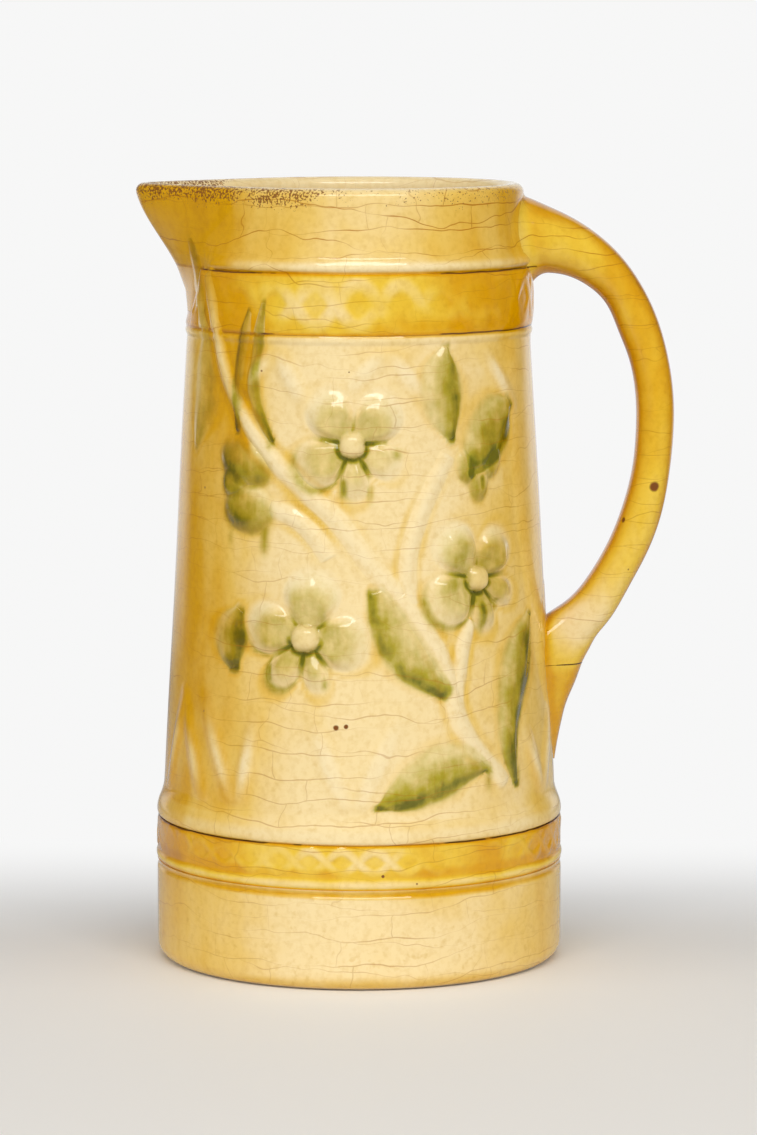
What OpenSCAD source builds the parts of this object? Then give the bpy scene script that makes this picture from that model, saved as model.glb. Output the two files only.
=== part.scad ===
// Tall tapered pitcher of relief-decorated earthenware, with a beak spout and a loop handle.
// The origin is the middle of the standing plane, +Z is up, the spout points to -X and the handle to +X.
// The clay pieces are thrown or pressed one by one and stuck together with slip.

/* [Jug] */
// Height from the standing plane to the rim
jug_h = 246.5; // [230:0.5:265]
// Thickness of the clay wall
wall_t = 6; // [5:0.1:7]
// Gap that the film of slip fills between two stuck pieces
slip_film = 0.1; // [0.05:0.01:0.2]

/* [Foot and floor] */
// Outer radius of the foot
foot_r = 64.6; // [62:0.1:68]
// Height of the plain foot below its bead
foot_h = 33.2; // [28:0.2:38]
// Rounding of the foot's lower edge
foot_edge_r = 5; // [2:0.5:7]
// Width of the ring that the jug stands on
foot_ring_w = 14; // [11:0.5:18]
// Depth of the hollow inside the standing ring
foot_hollow_h = 3; // [2:0.5:5]
// Thickness of the floor disc
floor_t = 6; // [5:0.5:8]

/* [Panel, bands and collar] */
// Wall radius at the bottom of the floral panel
panel_low_r = 62.4; // [60:0.1:64]
// Wall radius at the top of the floral panel
panel_top_r = 54.4; // [53:0.1:58]
// Height of the lower lattice band
lower_band_h = 10.6; // [8:0.2:14]
// Height of the slope between the lower ridge and the floral panel
shoulder_h = 8; // [6:0.5:12]
// Wall radius at the upper lattice band
upper_band_r = 54.9; // [54:0.1:58]
// Height of the upper lattice band
upper_band_h = 18.6; // [15:0.2:22]
// Thickness of the band strips, let into the wall
band_t = 1.6; // [1:0.1:2.2]
// Radius of the half-round ridges beside the bands
ridge_r = 1.6; // [1.2:0.1:2]
// How far the ridges stand out of the wall
ridge_out = 0.7; // [0.5:0.1:1]
// Outer radius of the collar at the rim
collar_r = 52; // [50.5:0.1:54]
// Height of the collar above its ridge
collar_h = 24; // [21:0.2:28]

/* [Spout] */
// Distance of the spout's tip from the axis
spout_reach = 70.6; // [67:0.1:76]
// Height of the spout's foot below the rim
spout_drop = 40; // [34:1:42]
// Half width of the notch in the wall at the spout's foot
spout_low_w = 14; // [11:0.5:17]
// Half angle of the notch in the wall at the rim, on the wall's inner face
spout_open = 69; // [60:1:74]
// Rounding of the beak's tip, in degrees of plan angle
spout_tip_round = 5; // [3:1:8]

/* [Handle] */
// Farthest reach of the handle from the axis
handle_reach = 100.3; // [94:0.1:110]
// Depth below the rim at which the handle reaches farthest
handle_mid_drop = 75; // [68:1:85]
// Depth of the middle of the upper root below the rim
handle_top_drop = 16; // [15:0.5:20]
// Height at which the handle turns into its lower root
handle_low_z = 113.8; // [106:0.2:122]
// Distance of the handle's middle line from the wall where it turns into its lower root
handle_turn_out = 17; // [14:0.5:20]
// Height of the seam between the handle and its tail
tail_seam_z = 93.8; // [88:0.1:99]
// Height of the tail's lower end
tail_end_z = 64.2; // [61:0.2:70]
// Thickness of the grip
grip_t = 12.1; // [10:0.1:15]
// Width of the grip
grip_w = 17; // [14:0.5:22]
// Height of the upper root on the collar
root_h = 28; // [22:0.5:30]
// Width of the upper root on the collar
root_w = 26; // [20:0.5:32]
// Thickness of the handle at the turn into its lower root
low_root_t = 14; // [12:0.5:17]
// Width of the handle at the turn into its lower root
low_root_w = 19; // [16:0.5:24]
// Thickness of the tail's lower end, of which the inner part is cut away by the wall
tail_t = 7.2; // [6.5:0.1:9]
// Width of the tail's lower end
tail_w = 10; // [7:0.5:14]
// Thickness of the slip layers under the handle's roots
slip_t = 0.8; // [0.5:0.1:1.2]

/* [Relief] */
// Distance of the petals from the flower's middle
petal_ring = 11; // [9:0.5:12]
// Half height of a petal
petal_r = 6.2; // [5:0.1:7]
// Relief of a petal over the wall
petal_h = 2.6; // [1.5:0.1:3.5]
// Radius of the boss in a flower
boss_r = 3.6; // [2.5:0.1:4.5]
// Relief of the boss over the wall
boss_h = 3.2; // [2:0.1:4]
// Relief of a leaf over the wall
leaf_h = 2.2; // [1.5:0.1:3]
// Width of a broad leaf
broad_leaf_w = 9.4; // [7:0.1:10.5]
// Width of a slim leaf
slim_leaf_w = 4.8; // [3.5:0.1:5.5]
// Radius of the two caps of a closed bud
bud_r = 6.4; // [5:0.1:7]
// Distance of a bud's caps from its middle
bud_gap = 6; // [4.5:0.1:6.2]
// Radius of the calyx under an opening bud
calyx_r = 3.8; // [3:0.1:4.5]
// Width of a stem
stem_w = 2.6; // [2:0.1:3.2]
// Relief of a stem over the wall
stem_h = 1.4; // [0.8:0.1:2]
// Space between a stem's end and the flower that it carries
stem_gap = 1; // [0.5:0.1:2]

/* [Hidden] */
$fn = 96;
cream = [0.91, 0.8, 0.55];
gold = [0.85, 0.66, 0.2];
green = [0.55, 0.56, 0.28];
clay = [0.8, 0.7, 0.52];

// Heights of the bands, the ridges and the floral panel
ridge_room = 2 * ridge_r;
lower_band_z = foot_h + ridge_r;
lower_ridge_z = lower_band_z + lower_band_h + ridge_r;
panel_low_z = lower_ridge_z + shoulder_h;
collar_ridge_z = jug_h - collar_h;
upper_band_z = collar_ridge_z - ridge_r - upper_band_h;
panel_top_z = upper_band_z - ridge_room;
panel_h = panel_top_z - panel_low_z;
floor_r = foot_r - wall_t;
lip_r = wall_t / 2;
lip_step = 15;

// Points of an arc, and of a ridge whose arc starts and ends on a wall of radius r
function arc(r, z, rad, from, to, n) =
    [for (i = [0 : n]) let (a = from + (to - from) * i / n) [r + rad * cos(a), z + rad * sin(a)]];
ridge_half = acos((ridge_r - ridge_out) / ridge_r);
function ridge(r, z) = arc(r + ridge_out - ridge_r, z, ridge_r, -ridge_half, ridge_half, 6);

// Outer line of the wall, from the standing plane up to the start of the lip
collar_low_r = upper_band_r - ridge_out;
collar_steps = 8;
function collar_line(u) =
    [collar_r + (collar_low_r - collar_r) * pow(1 - u, 3),
     collar_ridge_z + ridge_r + (collar_h - ridge_r - lip_r) * u];
outer_line = concat(
    arc(foot_r - foot_edge_r, foot_edge_r, foot_edge_r, -90, 0, 6),
    ridge(foot_r, foot_h),
    ridge(foot_r, lower_ridge_z),
    [[panel_low_r, panel_low_z], [panel_top_r, panel_top_z]],
    ridge(upper_band_r, upper_band_z - ridge_r),
    ridge(upper_band_r, collar_ridge_z),
    [for (i = [0 : collar_steps]) collar_line(i / collar_steps)]);
outer_table = [for (p = outer_line) [p[1], p[0]]];
function outer_r(z) = lookup(z, outer_table);
function panel_r(z) = panel_low_r + (panel_top_r - panel_low_r) * (z - panel_low_z) / panel_h;

// Inner line of the wall, from the lip down to the hollow under the floor
inner_line = [
    [collar_r - wall_t, jug_h - lip_r],
    [collar_r - wall_t, collar_ridge_z],
    [panel_top_r - wall_t, panel_top_z],
    [panel_low_r - wall_t, panel_low_z],
    [floor_r + slip_film, lower_ridge_z],
    [floor_r + slip_film, foot_hollow_h],
    [foot_r - foot_ring_w, foot_hollow_h],
    [foot_r - foot_ring_w, 0]];
inner_table = [for (i = [4 : -1 : 0]) [inner_line[i][1], inner_line[i][0]]];
function inner_r(z) = lookup(z, inner_table);

// Solid of everything inside the wall's outer face, grown by a gap
module wall_envelope(gap) {
    rotate_extrude()
        polygon(concat(
            [[0, 0]],
            [for (p = outer_line) [p[0] + gap, p[1]]],
            [[collar_r + gap, jug_h], [0, jug_h]]));
}

// Half width of the spout's notch at the rim
spout_top_w = (collar_r - wall_t) * sin(spout_open);

// Wedge that the potter cuts out of the wall for the spout, grown by a gap
notch_deep = 2 * foot_r;
module spout_notch(gap) {
    low = jug_h - spout_drop;
    rise = (spout_top_w - spout_low_w) / spout_drop;
    over = 2 * wall_t;
    top_w = spout_top_w + rise * over;
    rotate([90, 0, -90])
        linear_extrude(height = notch_deep)
            polygon([
                [-spout_low_w - gap, low - gap], [spout_low_w + gap, low - gap],
                [top_w + gap, jug_h + over], [-top_w - gap, jug_h + over]]);
}

// Closed skin over a row of loops, each made of a first half and a returning second half
module skin(loops) {
    n = len(loops[0]);
    m = len(loops);
    half = n / 2;
    points = [for (loop = loops) each loop];
    sides = [for (i = [0 : m - 2]) for (k = [0 : n - 1])
        let (a = i * n + k, b = i * n + (k + 1) % n)
        each [[a, b + n, b], [a, a + n, b + n]]];
    last = (m - 1) * n;
    caps = [for (k = [0 : half - 2])
        let (a = k, b = k + 1, c = n - 2 - k, d = n - 1 - k)
        each [[a, b, d], [b, c, d],
              [last + a, last + d, last + b], [last + b, last + d, last + c]]];
    polyhedron(points, concat(sides, caps));
}

// Wall of the jug, with beds for the band strips and the notch for the spout
module wall_section() {
    difference() {
        polygon(concat(
            outer_line,
            arc(collar_r - lip_r, jug_h - lip_r, lip_r, lip_step, 180 - lip_step, 10),
            inner_line));
        translate([foot_r - band_t, lower_band_z])
            square([band_t + ridge_out, lower_band_h]);
        translate([upper_band_r - band_t, upper_band_z])
            square([band_t + ridge_out, upper_band_h]);
    }
}

module body_wall() {
    color(cream)
        difference() {
            rotate_extrude() wall_section();
            spout_notch(0);
        }
}

module base_floor() {
    color(clay)
        translate([0, 0, foot_hollow_h])
            cylinder(h = floor_t, r = floor_r);
}

// Strip of clay that lies in its bed, clear of it by the film of slip
module band_strip(r, z, h) {
    rotate_extrude()
        translate([r - band_t + slip_film, z + slip_film])
            square([band_t - slip_film, h - 2 * slip_film]);
}

module lower_band_strip() {
    color(gold) band_strip(foot_r, lower_band_z, lower_band_h);
}

module upper_band_strip() {
    color(gold)
        difference() {
            band_strip(upper_band_r, upper_band_z, upper_band_h);
            spout_notch(slip_film);
        }
}

// Plan radius of the beak at an angle from its tip: two tangents to the wall that meet at the reach
function soft(a) = sqrt(a * a + spout_tip_round * spout_tip_round) - spout_tip_round;
function beak_r(r, reach, a) =
    let (touch = acos(min(1, r / reach)))
    r / cos(max(0, touch - soft(a)));

// Reach of the throat, which swells from the wall at the notch's foot to the tip at the rim
throat_power = 1.15;
function throat(z) =
    let (u = pow(max(0, (z - jug_h + spout_drop) / spout_drop), throat_power),
         low_r = outer_r(jug_h - spout_drop))
    max(outer_r(z), low_r + (spout_reach - low_r) * u * u * (3 - 2 * u));

// Loops of the spout, each a pair of height and inset, where the inset rounds the lip
spout_across = 20;
spout_z0 = jug_h - spout_drop + slip_film;
spout_levels = concat(
    [[spout_z0, 0]],
    [for (p = outer_line) if (p[1] > spout_z0 + slip_film) [p[1], 0]],
    [for (a = [lip_step : lip_step : 90 - lip_step]) [jug_h - lip_r + lip_r * sin(a), lip_r * (1 - cos(a))]]);
function notch_half(z) =
    spout_low_w + (spout_top_w - spout_low_w) * (z - jug_h + spout_drop) / spout_drop - slip_film;
function spout_row(z, r, reach) =
    let (edge = asin(notch_half(z) / r))
    [for (k = [0 : spout_across])
        let (a = edge * (2 * k / spout_across - 1), q = beak_r(r, reach, a))
        [-q * cos(a), q * sin(a), z]];
function spout_loop(z, inset) =
    let (far = throat(z) - inset,
         outside = spout_row(z, outer_r(z) - inset, far),
         inside = spout_row(z, inner_r(z) + inset, far - wall_t + 2 * inset))
    concat(outside, [for (k = [spout_across : -1 : 0]) inside[k]]);

module pouring_spout() {
    color(cream) skin([for (v = spout_levels) spout_loop(v[0], v[1])]);
}

// Middle line of the handle, in three cubic curves from the collar to the end of the tail
handle_top_z = jug_h - handle_top_drop;
handle_mid_z = jug_h - handle_mid_drop;
upper_span = handle_top_z - handle_mid_z;
lower_span = handle_mid_z - handle_low_z;
tail_span = handle_low_z - tail_end_z;
tail_sunk = 3;
root_point = [collar_r - wall_t / 2, handle_top_z];
mid_point = [handle_reach - grip_t / 2, handle_mid_z];
turn_point = [panel_r(handle_low_z) + handle_turn_out, handle_low_z];
tail_point = [panel_r(tail_end_z) - tail_sunk, tail_end_z];

// How far each curve is pulled along its end directions, as a share of its span
root_pull = 0.58;
crown_drop = 0.03;
shoulder_pull = 0.65;
belly_pull = 0.32;
turn_pull = 0.27;
tail_pull = 0.57;
turn_slope = [0.62, 0.78];
upper_curve = [
    root_point,
    root_point + [root_pull * (mid_point - root_point)[0], -crown_drop * upper_span],
    mid_point + [0, shoulder_pull * upper_span],
    mid_point];
lower_curve = [
    mid_point,
    mid_point - [0, belly_pull * lower_span],
    turn_point + belly_pull * lower_span * turn_slope,
    turn_point];
tail_curve = [
    turn_point,
    turn_point - turn_pull * tail_span * turn_slope,
    tail_point + [-tail_sunk, tail_pull * tail_span],
    tail_point];
function bezier(c, t) =
    pow(1 - t, 3) * c[0] + 3 * t * pow(1 - t, 2) * c[1] + 3 * t * t * (1 - t) * c[2] + t * t * t * c[3];
function heading(c, t) =
    let (d = pow(1 - t, 2) * (c[1] - c[0]) + 2 * t * (1 - t) * (c[2] - c[1]) + t * t * (c[3] - c[2]))
    d / norm(d);

// Thickness and width along the upper, lower and tail curves, where the tail swells as it is pressed on
tail_swell = 6.8;
grip_size = [grip_t, grip_w];
root_size = [root_h, root_w];
low_root_size = [low_root_t, low_root_w];
tail_size = [tail_t, tail_w];
function handle_size(part, t) =
    part == 0 ? grip_size + (root_size - grip_size) * pow(1 - t, 3) :
    part == 1 ? grip_size + (low_root_size - grip_size) * t * t :
    low_root_size + (tail_size - low_root_size) * t + [tail_swell * sin(180 * t), 0];

handle_sides = 16;
function handle_loop(part, curve, t) =
    let (c = bezier(curve, t), d = heading(curve, t), s = handle_size(part, t) / 2)
    [for (k = [0 : handle_sides - 1])
        let (a = (k + 0.5) * 360 / handle_sides, q = s[0] * cos(a))
        [c[0] + q * d[1], s[1] * sin(a), c[1] - q * d[0]]];

// Whole pull of clay for the handle, before its ends are pressed on the wall
handle_steps = 10;
module handle_pull() {
    n = handle_steps;
    skin(concat(
        [for (i = [0 : n - 1]) handle_loop(0, upper_curve, i / n)],
        [for (i = [0 : n - 1]) handle_loop(1, lower_curve, i / n)],
        [for (i = [0 : n]) handle_loop(2, tail_curve, i / n)]));
}

// Slab of space between two heights, wide enough for the handle
module between(low, high) {
    translate([0, -root_w, low])
        cube([2 * handle_reach, 2 * root_w, high - low]);
}

module handle() {
    color(gold)
        difference() {
            intersection() {
                handle_pull();
                between(tail_seam_z + slip_film, jug_h);
            }
            wall_envelope(slip_t + 2 * slip_film);
        }
}

module handle_tail() {
    color(gold)
        difference() {
            intersection() {
                handle_pull();
                between(0, tail_seam_z);
            }
            wall_envelope(slip_film);
        }
}

// Layer of slip under a root of the handle
module root_slip(low, high) {
    difference() {
        intersection() {
            handle_pull();
            between(low, high);
            wall_envelope(slip_film + slip_t);
        }
        wall_envelope(slip_film);
    }
}

module handle_upper_slip() {
    color(clay) root_slip(handle_mid_z, jug_h);
}

module handle_lower_slip() {
    color(clay) root_slip(tail_seam_z + slip_film, handle_mid_z);
}

// Place on the floral panel: angle from the front, and height in percent of the panel
function panel_z(percent) = panel_low_z + panel_h * percent / 100;

// Point over the panel, moved across and up from a place and lifted off the film of slip
function panel_point(place, across, up, lift) =
    let (z = panel_z(place[1]) + up,
         r = panel_r(z) + slip_film + lift,
         angle = place[0] + across / panel_r(z) * 180 / PI)
    [r * sin(angle), -r * cos(angle), z];

// Strip of relief along a quadratic curve between places a and c, with its width and lift at each step
strip_steps = 10;
function strip_place(a, b, c, t) = pow(1 - t, 2) * a + 2 * t * (1 - t) * b + t * t * c;
function strip_side(a, b, c, t) =
    let (g = (1 - t) * (b - a) + t * (c - b),
         d = [g[0] * PI / 180 * panel_low_r, g[1] * panel_h / 100])
    [d[1], -d[0]] / norm(d);
module strip(a, b, c, profile, half, lift) {
    skin([for (i = [0 : strip_steps])
        let (t = i / strip_steps, p = strip_place(a, b, c, t), s = half(t) * strip_side(a, b, c, t))
        [for (q = profile) panel_point(p, q[0] * s[0], q[0] * s[1], q[1] * lift(t))]]);
}

// Half-round stem, thinner towards both ends
stem_profile = [[-1, 0], [-0.6, 0.8], [0, 1], [0.6, 0.8], [1, 0], [0, 0]];
stem_end = 0.45;
module stem(a, b, c) {
    thin = function(t) stem_end + (1 - stem_end) * sin(180 * t);
    strip(a, b, c, stem_profile,
        function(t) stem_w / 2 * thin(t), function(t) stem_h * thin(t));
}

// Leaf, pointed at both ends, with a groove along its vein
leaf_profile = [[-1, 0], [-0.55, 1], [0, 0.76], [0.55, 1], [1, 0], [0, 0]];
leaf_end = 0.06;
leaf_round = 0.8;
module leaf(a, b, c, width) {
    full = function(t) leaf_end + (1 - leaf_end) * pow(sin(180 * t), leaf_round);
    strip(a, b, c, leaf_profile,
        function(t) width / 2 * full(t), function(t) leaf_h * full(t));
}

// Closed dome over the panel, in rings at shares of its reach: it has a reach for each angle,
// and a lift for each distance and angle
dome_sides = 18;
flower_sides = 30;
dome_low_rings = [0.34, 0.67, 1];
dome_top_rings = [0.88, 0.68, 0.45, 0.26, 0.14];
module dome(place, reach, lift, n = dome_sides) {
    ring = function(share, up)
        [for (k = [0 : n - 1])
            let (a = 360 * k / n, q = share * reach(a))
            panel_point(place, q * cos(a), q * sin(a), up * lift(q, a))];
    rings = concat(
        [for (f = dome_low_rings) ring(f, 0)],
        [for (f = dome_top_rings) ring(f, 1)]);
    m = len(rings);
    points = concat(
        [for (r = rings) each r],
        [panel_point(place, 0, 0, 0), panel_point(place, 0, 0, lift(0, 0))]);
    low = m * n;
    high = low + 1;
    sides = [for (i = [0 : m - 2]) for (k = [0 : n - 1])
        let (a = i * n + k, b = i * n + (k + 1) % n)
        each [[a, b + n, b], [a, a + n, b + n]]];
    ends = [for (k = [0 : n - 1])
        let (b = (k + 1) % n, last = (m - 1) * n)
        each [[low, k, b], [high, last + b, last + k]]];
    polyhedron(points, concat(sides, ends));
}

// Height of a round cap of radius r and relief h, at a distance from its middle
function cap_lift(d, r, h) = h * sqrt(max(0, 1 - pow(d / r, 2)));

// Open flower: round petals in a ring about a boss, where the angle is taken from the nearest petal
petals = 5;
petal_step = 360 / petals;
petal_edge = 0.3;
module flower(place, turn) {
    from_petal = function(a)
        let (d = (a - turn) / petal_step) (d - round(d)) * petal_step;
    reach = function(a)
        let (d = from_petal(a))
        petal_ring * cos(d) + sqrt(max(0, pow(petal_r, 2) - pow(petal_ring * sin(d), 2)));
    lift = function(q, a)
        let (d = from_petal(a),
             off = norm([q * cos(d) - petal_ring, q * sin(d)]))
        max(petal_edge, cap_lift(off, petal_r, petal_h), cap_lift(q, boss_r, boss_h));
    dome(place, reach, lift, flower_sides);
}

// Closed bud of two round caps, one over the other
module bud(place) {
    reach = function(a)
        bud_gap * abs(sin(a)) + sqrt(max(0, pow(bud_r, 2) - pow(bud_gap * cos(a), 2)));
    lift = function(q, a)
        let (off = norm([q * cos(a), q * abs(sin(a)) - bud_gap]))
        max(petal_edge, cap_lift(off, bud_r, petal_h));
    dome(place, reach, lift);
}

// Calyx of three short lobes under an opening bud
calyx_lobe = 0.2;
module calyx(place, turn) {
    reach = function(a) calyx_r * (1 - calyx_lobe + calyx_lobe * cos(3 * (a - turn)));
    lift = function(q, a) max(petal_edge, cap_lift(q, calyx_r, leaf_h));
    dome(place, reach, lift);
}

// The relief of one side: flowers, leaves and stems, each pressed by itself and placed on the panel
right_flower = [40, 50];
flower_low = right_flower[1] - (petal_ring + petal_r + stem_gap) / panel_h * 100;
RELIEF = [
    "flower_upper", "flower_right", "flower_left", "bud_left", "bud_right", "calyx_right",
    "leaf_top", "leaf_middle", "leaf_right", "leaf_low", "leaf_left",
    "leaf_pair_outer", "leaf_pair_inner", "leaf_under_spout",
    "stem_lower", "stem_upper", "stem_to_flower", "stem_to_leaf", "stem_to_bud"];
module relief(name) {
    broad = broad_leaf_w;
    slim = slim_leaf_w;
    if (name == "flower_upper") color(cream) flower([-2, 79], 126);
    if (name == "flower_right") color(cream) flower(right_flower, 126);
    if (name == "flower_left") color(cream) flower([-17, 38], 90);
    if (name == "bud_left") color(green) bud([-40, 70]);
    if (name == "bud_right") color(green) leaf([39.5, 74.5], [46, 82.5], [56, 86], broad);
    if (name == "calyx_right") color(green) calyx([42, 69], 90);
    if (name == "leaf_top") color(green) leaf([30.5, 82], [28, 90], [29.5, 97], broad);
    if (name == "leaf_middle") color(green) leaf([25, 26], [11, 34], [6, 46], broad);
    if (name == "leaf_right") color(green) leaf([53.5, 7.5], [56, 24], [64.5, 36.5], broad);
    if (name == "leaf_low") color(green) leaf([8, 3.5], [22, 9.5], [40, 9.5], broad);
    if (name == "leaf_left") color(green) leaf([-48.5, 38], [-43, 39], [-38.5, 37], broad);
    if (name == "leaf_pair_outer") color(green) leaf([-36.5, 84.5], [-37.5, 92], [-42, 98], slim);
    if (name == "leaf_pair_inner") color(green) leaf([-31.5, 84.5], [-31.5, 92], [-29, 98], slim);
    if (name == "leaf_under_spout") color(green) leaf([-64, 76], [-69, 86], [-73, 98], broad);
    if (name == "stem_lower") color(cream) stem([47, 6], [31, 26], [13, 47.5]);
    if (name == "stem_upper") color(cream) stem([10, 49.5], [-8, 63], [-33, 79]);
    if (name == "stem_to_flower") color(cream) stem([33, 26], [36, 31], [38, flower_low]);
    if (name == "stem_to_leaf") color(cream) stem([16, 49], [16, 63], [30, 76]);
    if (name == "stem_to_bud") color(cream) stem([-27, 65], [-17, 61.5], [-10, 54.5]);
}
SIDES = ["front", "back"];

body_wall();
base_floor();
lower_band_strip();
upper_band_strip();
pouring_spout();
handle();
handle_tail();
handle_upper_slip();
handle_lower_slip();
for (name = RELIEF)
    relief(name);
for (name = RELIEF)
    mirror([0, 1, 0]) relief(name);
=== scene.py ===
import math

import bmesh
import bpy
import numpy as np
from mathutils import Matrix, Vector


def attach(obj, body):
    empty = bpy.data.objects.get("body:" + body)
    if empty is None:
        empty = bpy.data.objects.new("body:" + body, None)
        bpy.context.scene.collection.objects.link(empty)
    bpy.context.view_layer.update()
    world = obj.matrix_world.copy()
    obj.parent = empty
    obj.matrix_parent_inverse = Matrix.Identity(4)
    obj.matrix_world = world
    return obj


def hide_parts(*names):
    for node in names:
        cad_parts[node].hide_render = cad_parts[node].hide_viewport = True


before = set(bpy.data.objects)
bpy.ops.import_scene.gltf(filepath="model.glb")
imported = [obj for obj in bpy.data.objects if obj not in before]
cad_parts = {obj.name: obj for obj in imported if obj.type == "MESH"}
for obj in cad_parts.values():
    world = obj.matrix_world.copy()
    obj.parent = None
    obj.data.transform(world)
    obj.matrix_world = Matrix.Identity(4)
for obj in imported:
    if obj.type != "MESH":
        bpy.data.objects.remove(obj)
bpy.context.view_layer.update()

mm = 0.001
rad = math.pi / 180
fieldNames = ("green", "pool", "paleAndSheen", "stain")    # values on each point that the glazes read
materials = {}                                     # by the name of their slot
print("frame loaded with", len(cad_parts), "nodes")


# smooth step that goes from 0 at low to 1 at high, which may lie below low
def ease(low, high, x):
    t = np.clip((np.asarray(x, float) - low) / (high - low), 0, 1)
    return t * t * (3 - 2 * t)


# smooth bump that is 1 at the middle and 0 beyond half on either side
def hump(x, middle, half):
    t = np.clip(np.abs(np.asarray(x, float) - middle) / half, 0, 1)
    return (1 - t * t) ** 2


# natural cubic spline through rows of points, read at running places along their index
def through(points, at):
    p = np.asarray(points, float)
    m = len(p)
    system = np.eye(m)
    inner = np.arange(1, m - 1)
    system[inner, inner], system[inner, inner - 1], system[inner, inner + 1] = 4, 1, 1
    bend = np.zeros_like(p)
    bend[1:-1] = 6 * (p[2:] - 2 * p[1:-1] + p[:-2])
    bend = np.linalg.solve(system, bend)
    at = np.clip(np.asarray(at, float), 0, m - 1)
    i = np.minimum(at.astype(int), m - 2)
    u = (at - i)[:, None] if p.ndim > 1 else at - i
    return ((1 - u) * p[i] + u * p[i + 1]
            + ((u ** 3 - u) * bend[i + 1] + ((1 - u) ** 3 - (1 - u)) * bend[i]) / 6)


# angles round a full turn, in degrees unless a whole turn is given in something else
def roundTurn(count, whole=360):
    return np.linspace(0, whole, count, endpoint=False)


# points at a radius, turn and height about the axis
def ringPoints(radius, turn, z):
    return np.stack(np.broadcast_arrays(radius * np.cos(turn), radius * np.sin(turn), z), -1)


# quads between neighbouring rows and columns of a grid of points
def gridFaces(rows, cols, wrapRows=False, wrapCols=False, first=0):
    i = np.arange(rows if wrapRows else rows - 1)
    j = np.arange(cols if wrapCols else cols - 1)
    a, b = np.meshgrid(i, j, indexing="ij")
    c, d = (a + 1) % rows, (b + 1) % cols
    return first + np.stack([a * cols + b, a * cols + d, c * cols + d, c * cols + b], -1).reshape(-1, 4)


# quads over both open ends of a bent strip: a count of rows up from first and down from last are joined
def endFaces(first, last, count, cols):
    k = np.arange(count)
    cap = np.stack([first + k, first + k + 1, last - k - 1, last - k], -1) * cols
    return [cap, cap[:, ::-1] + cols - 1]


# six times the volume inside the quads, which is negative where they point inwards
def signedVolume(points, quads):
    a, b, c, d = (points[quads[:, k]] for k in range(4))
    return float((np.cross(a, b) * c).sum() + (np.cross(a, c) * d).sum())


# puts points in mm, quads (or none for rows of rings) and one value per point for each field into a mesh that
# replaces CAD nodes
def makePiece(name, points, quads, fields, slotName, nodes, crease=40):
    if quads is None:
        quads = gridFaces(*points.shape[:2], wrapCols=True)
    points = points.reshape(-1, 3)
    if signedVolume(points, quads) < 0:
        quads = quads[:, ::-1]
    mesh = bpy.data.meshes.new(name)
    mesh.vertices.add(len(points))
    mesh.vertices.foreach_set("co", (points * mm).astype(np.float32).ravel())
    mesh.loops.add(quads.size)
    mesh.loops.foreach_set("vertex_index", quads.astype(np.int32).ravel())
    mesh.polygons.add(len(quads))
    mesh.polygons.foreach_set("loop_start", np.arange(0, quads.size, 4, dtype=np.int32))
    for key in fieldNames:
        values = np.broadcast_to(np.ravel(fields.get(key, 0.0)), len(points))
        mesh.attributes.new(key, "FLOAT", "POINT").data.foreach_set("value", values.astype(np.float32))
    mesh.update(calc_edges=True)
    welded = bmesh.new()
    welded.from_mesh(mesh)
    bmesh.ops.remove_doubles(welded, verts=welded.verts, dist=2e-6)
    bmesh.ops.dissolve_degenerate(welded, edges=welded.edges, dist=1e-7)
    welded.to_mesh(mesh)
    welded.free()
    mesh.shade_smooth()
    mesh.set_sharp_from_angle(angle=crease * rad)
    mesh.materials.append(materials[slotName])
    piece = bpy.data.objects.new(name, mesh)
    bpy.context.scene.collection.objects.link(piece)
    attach(piece, "root")
    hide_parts(*nodes)
    return piece


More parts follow.
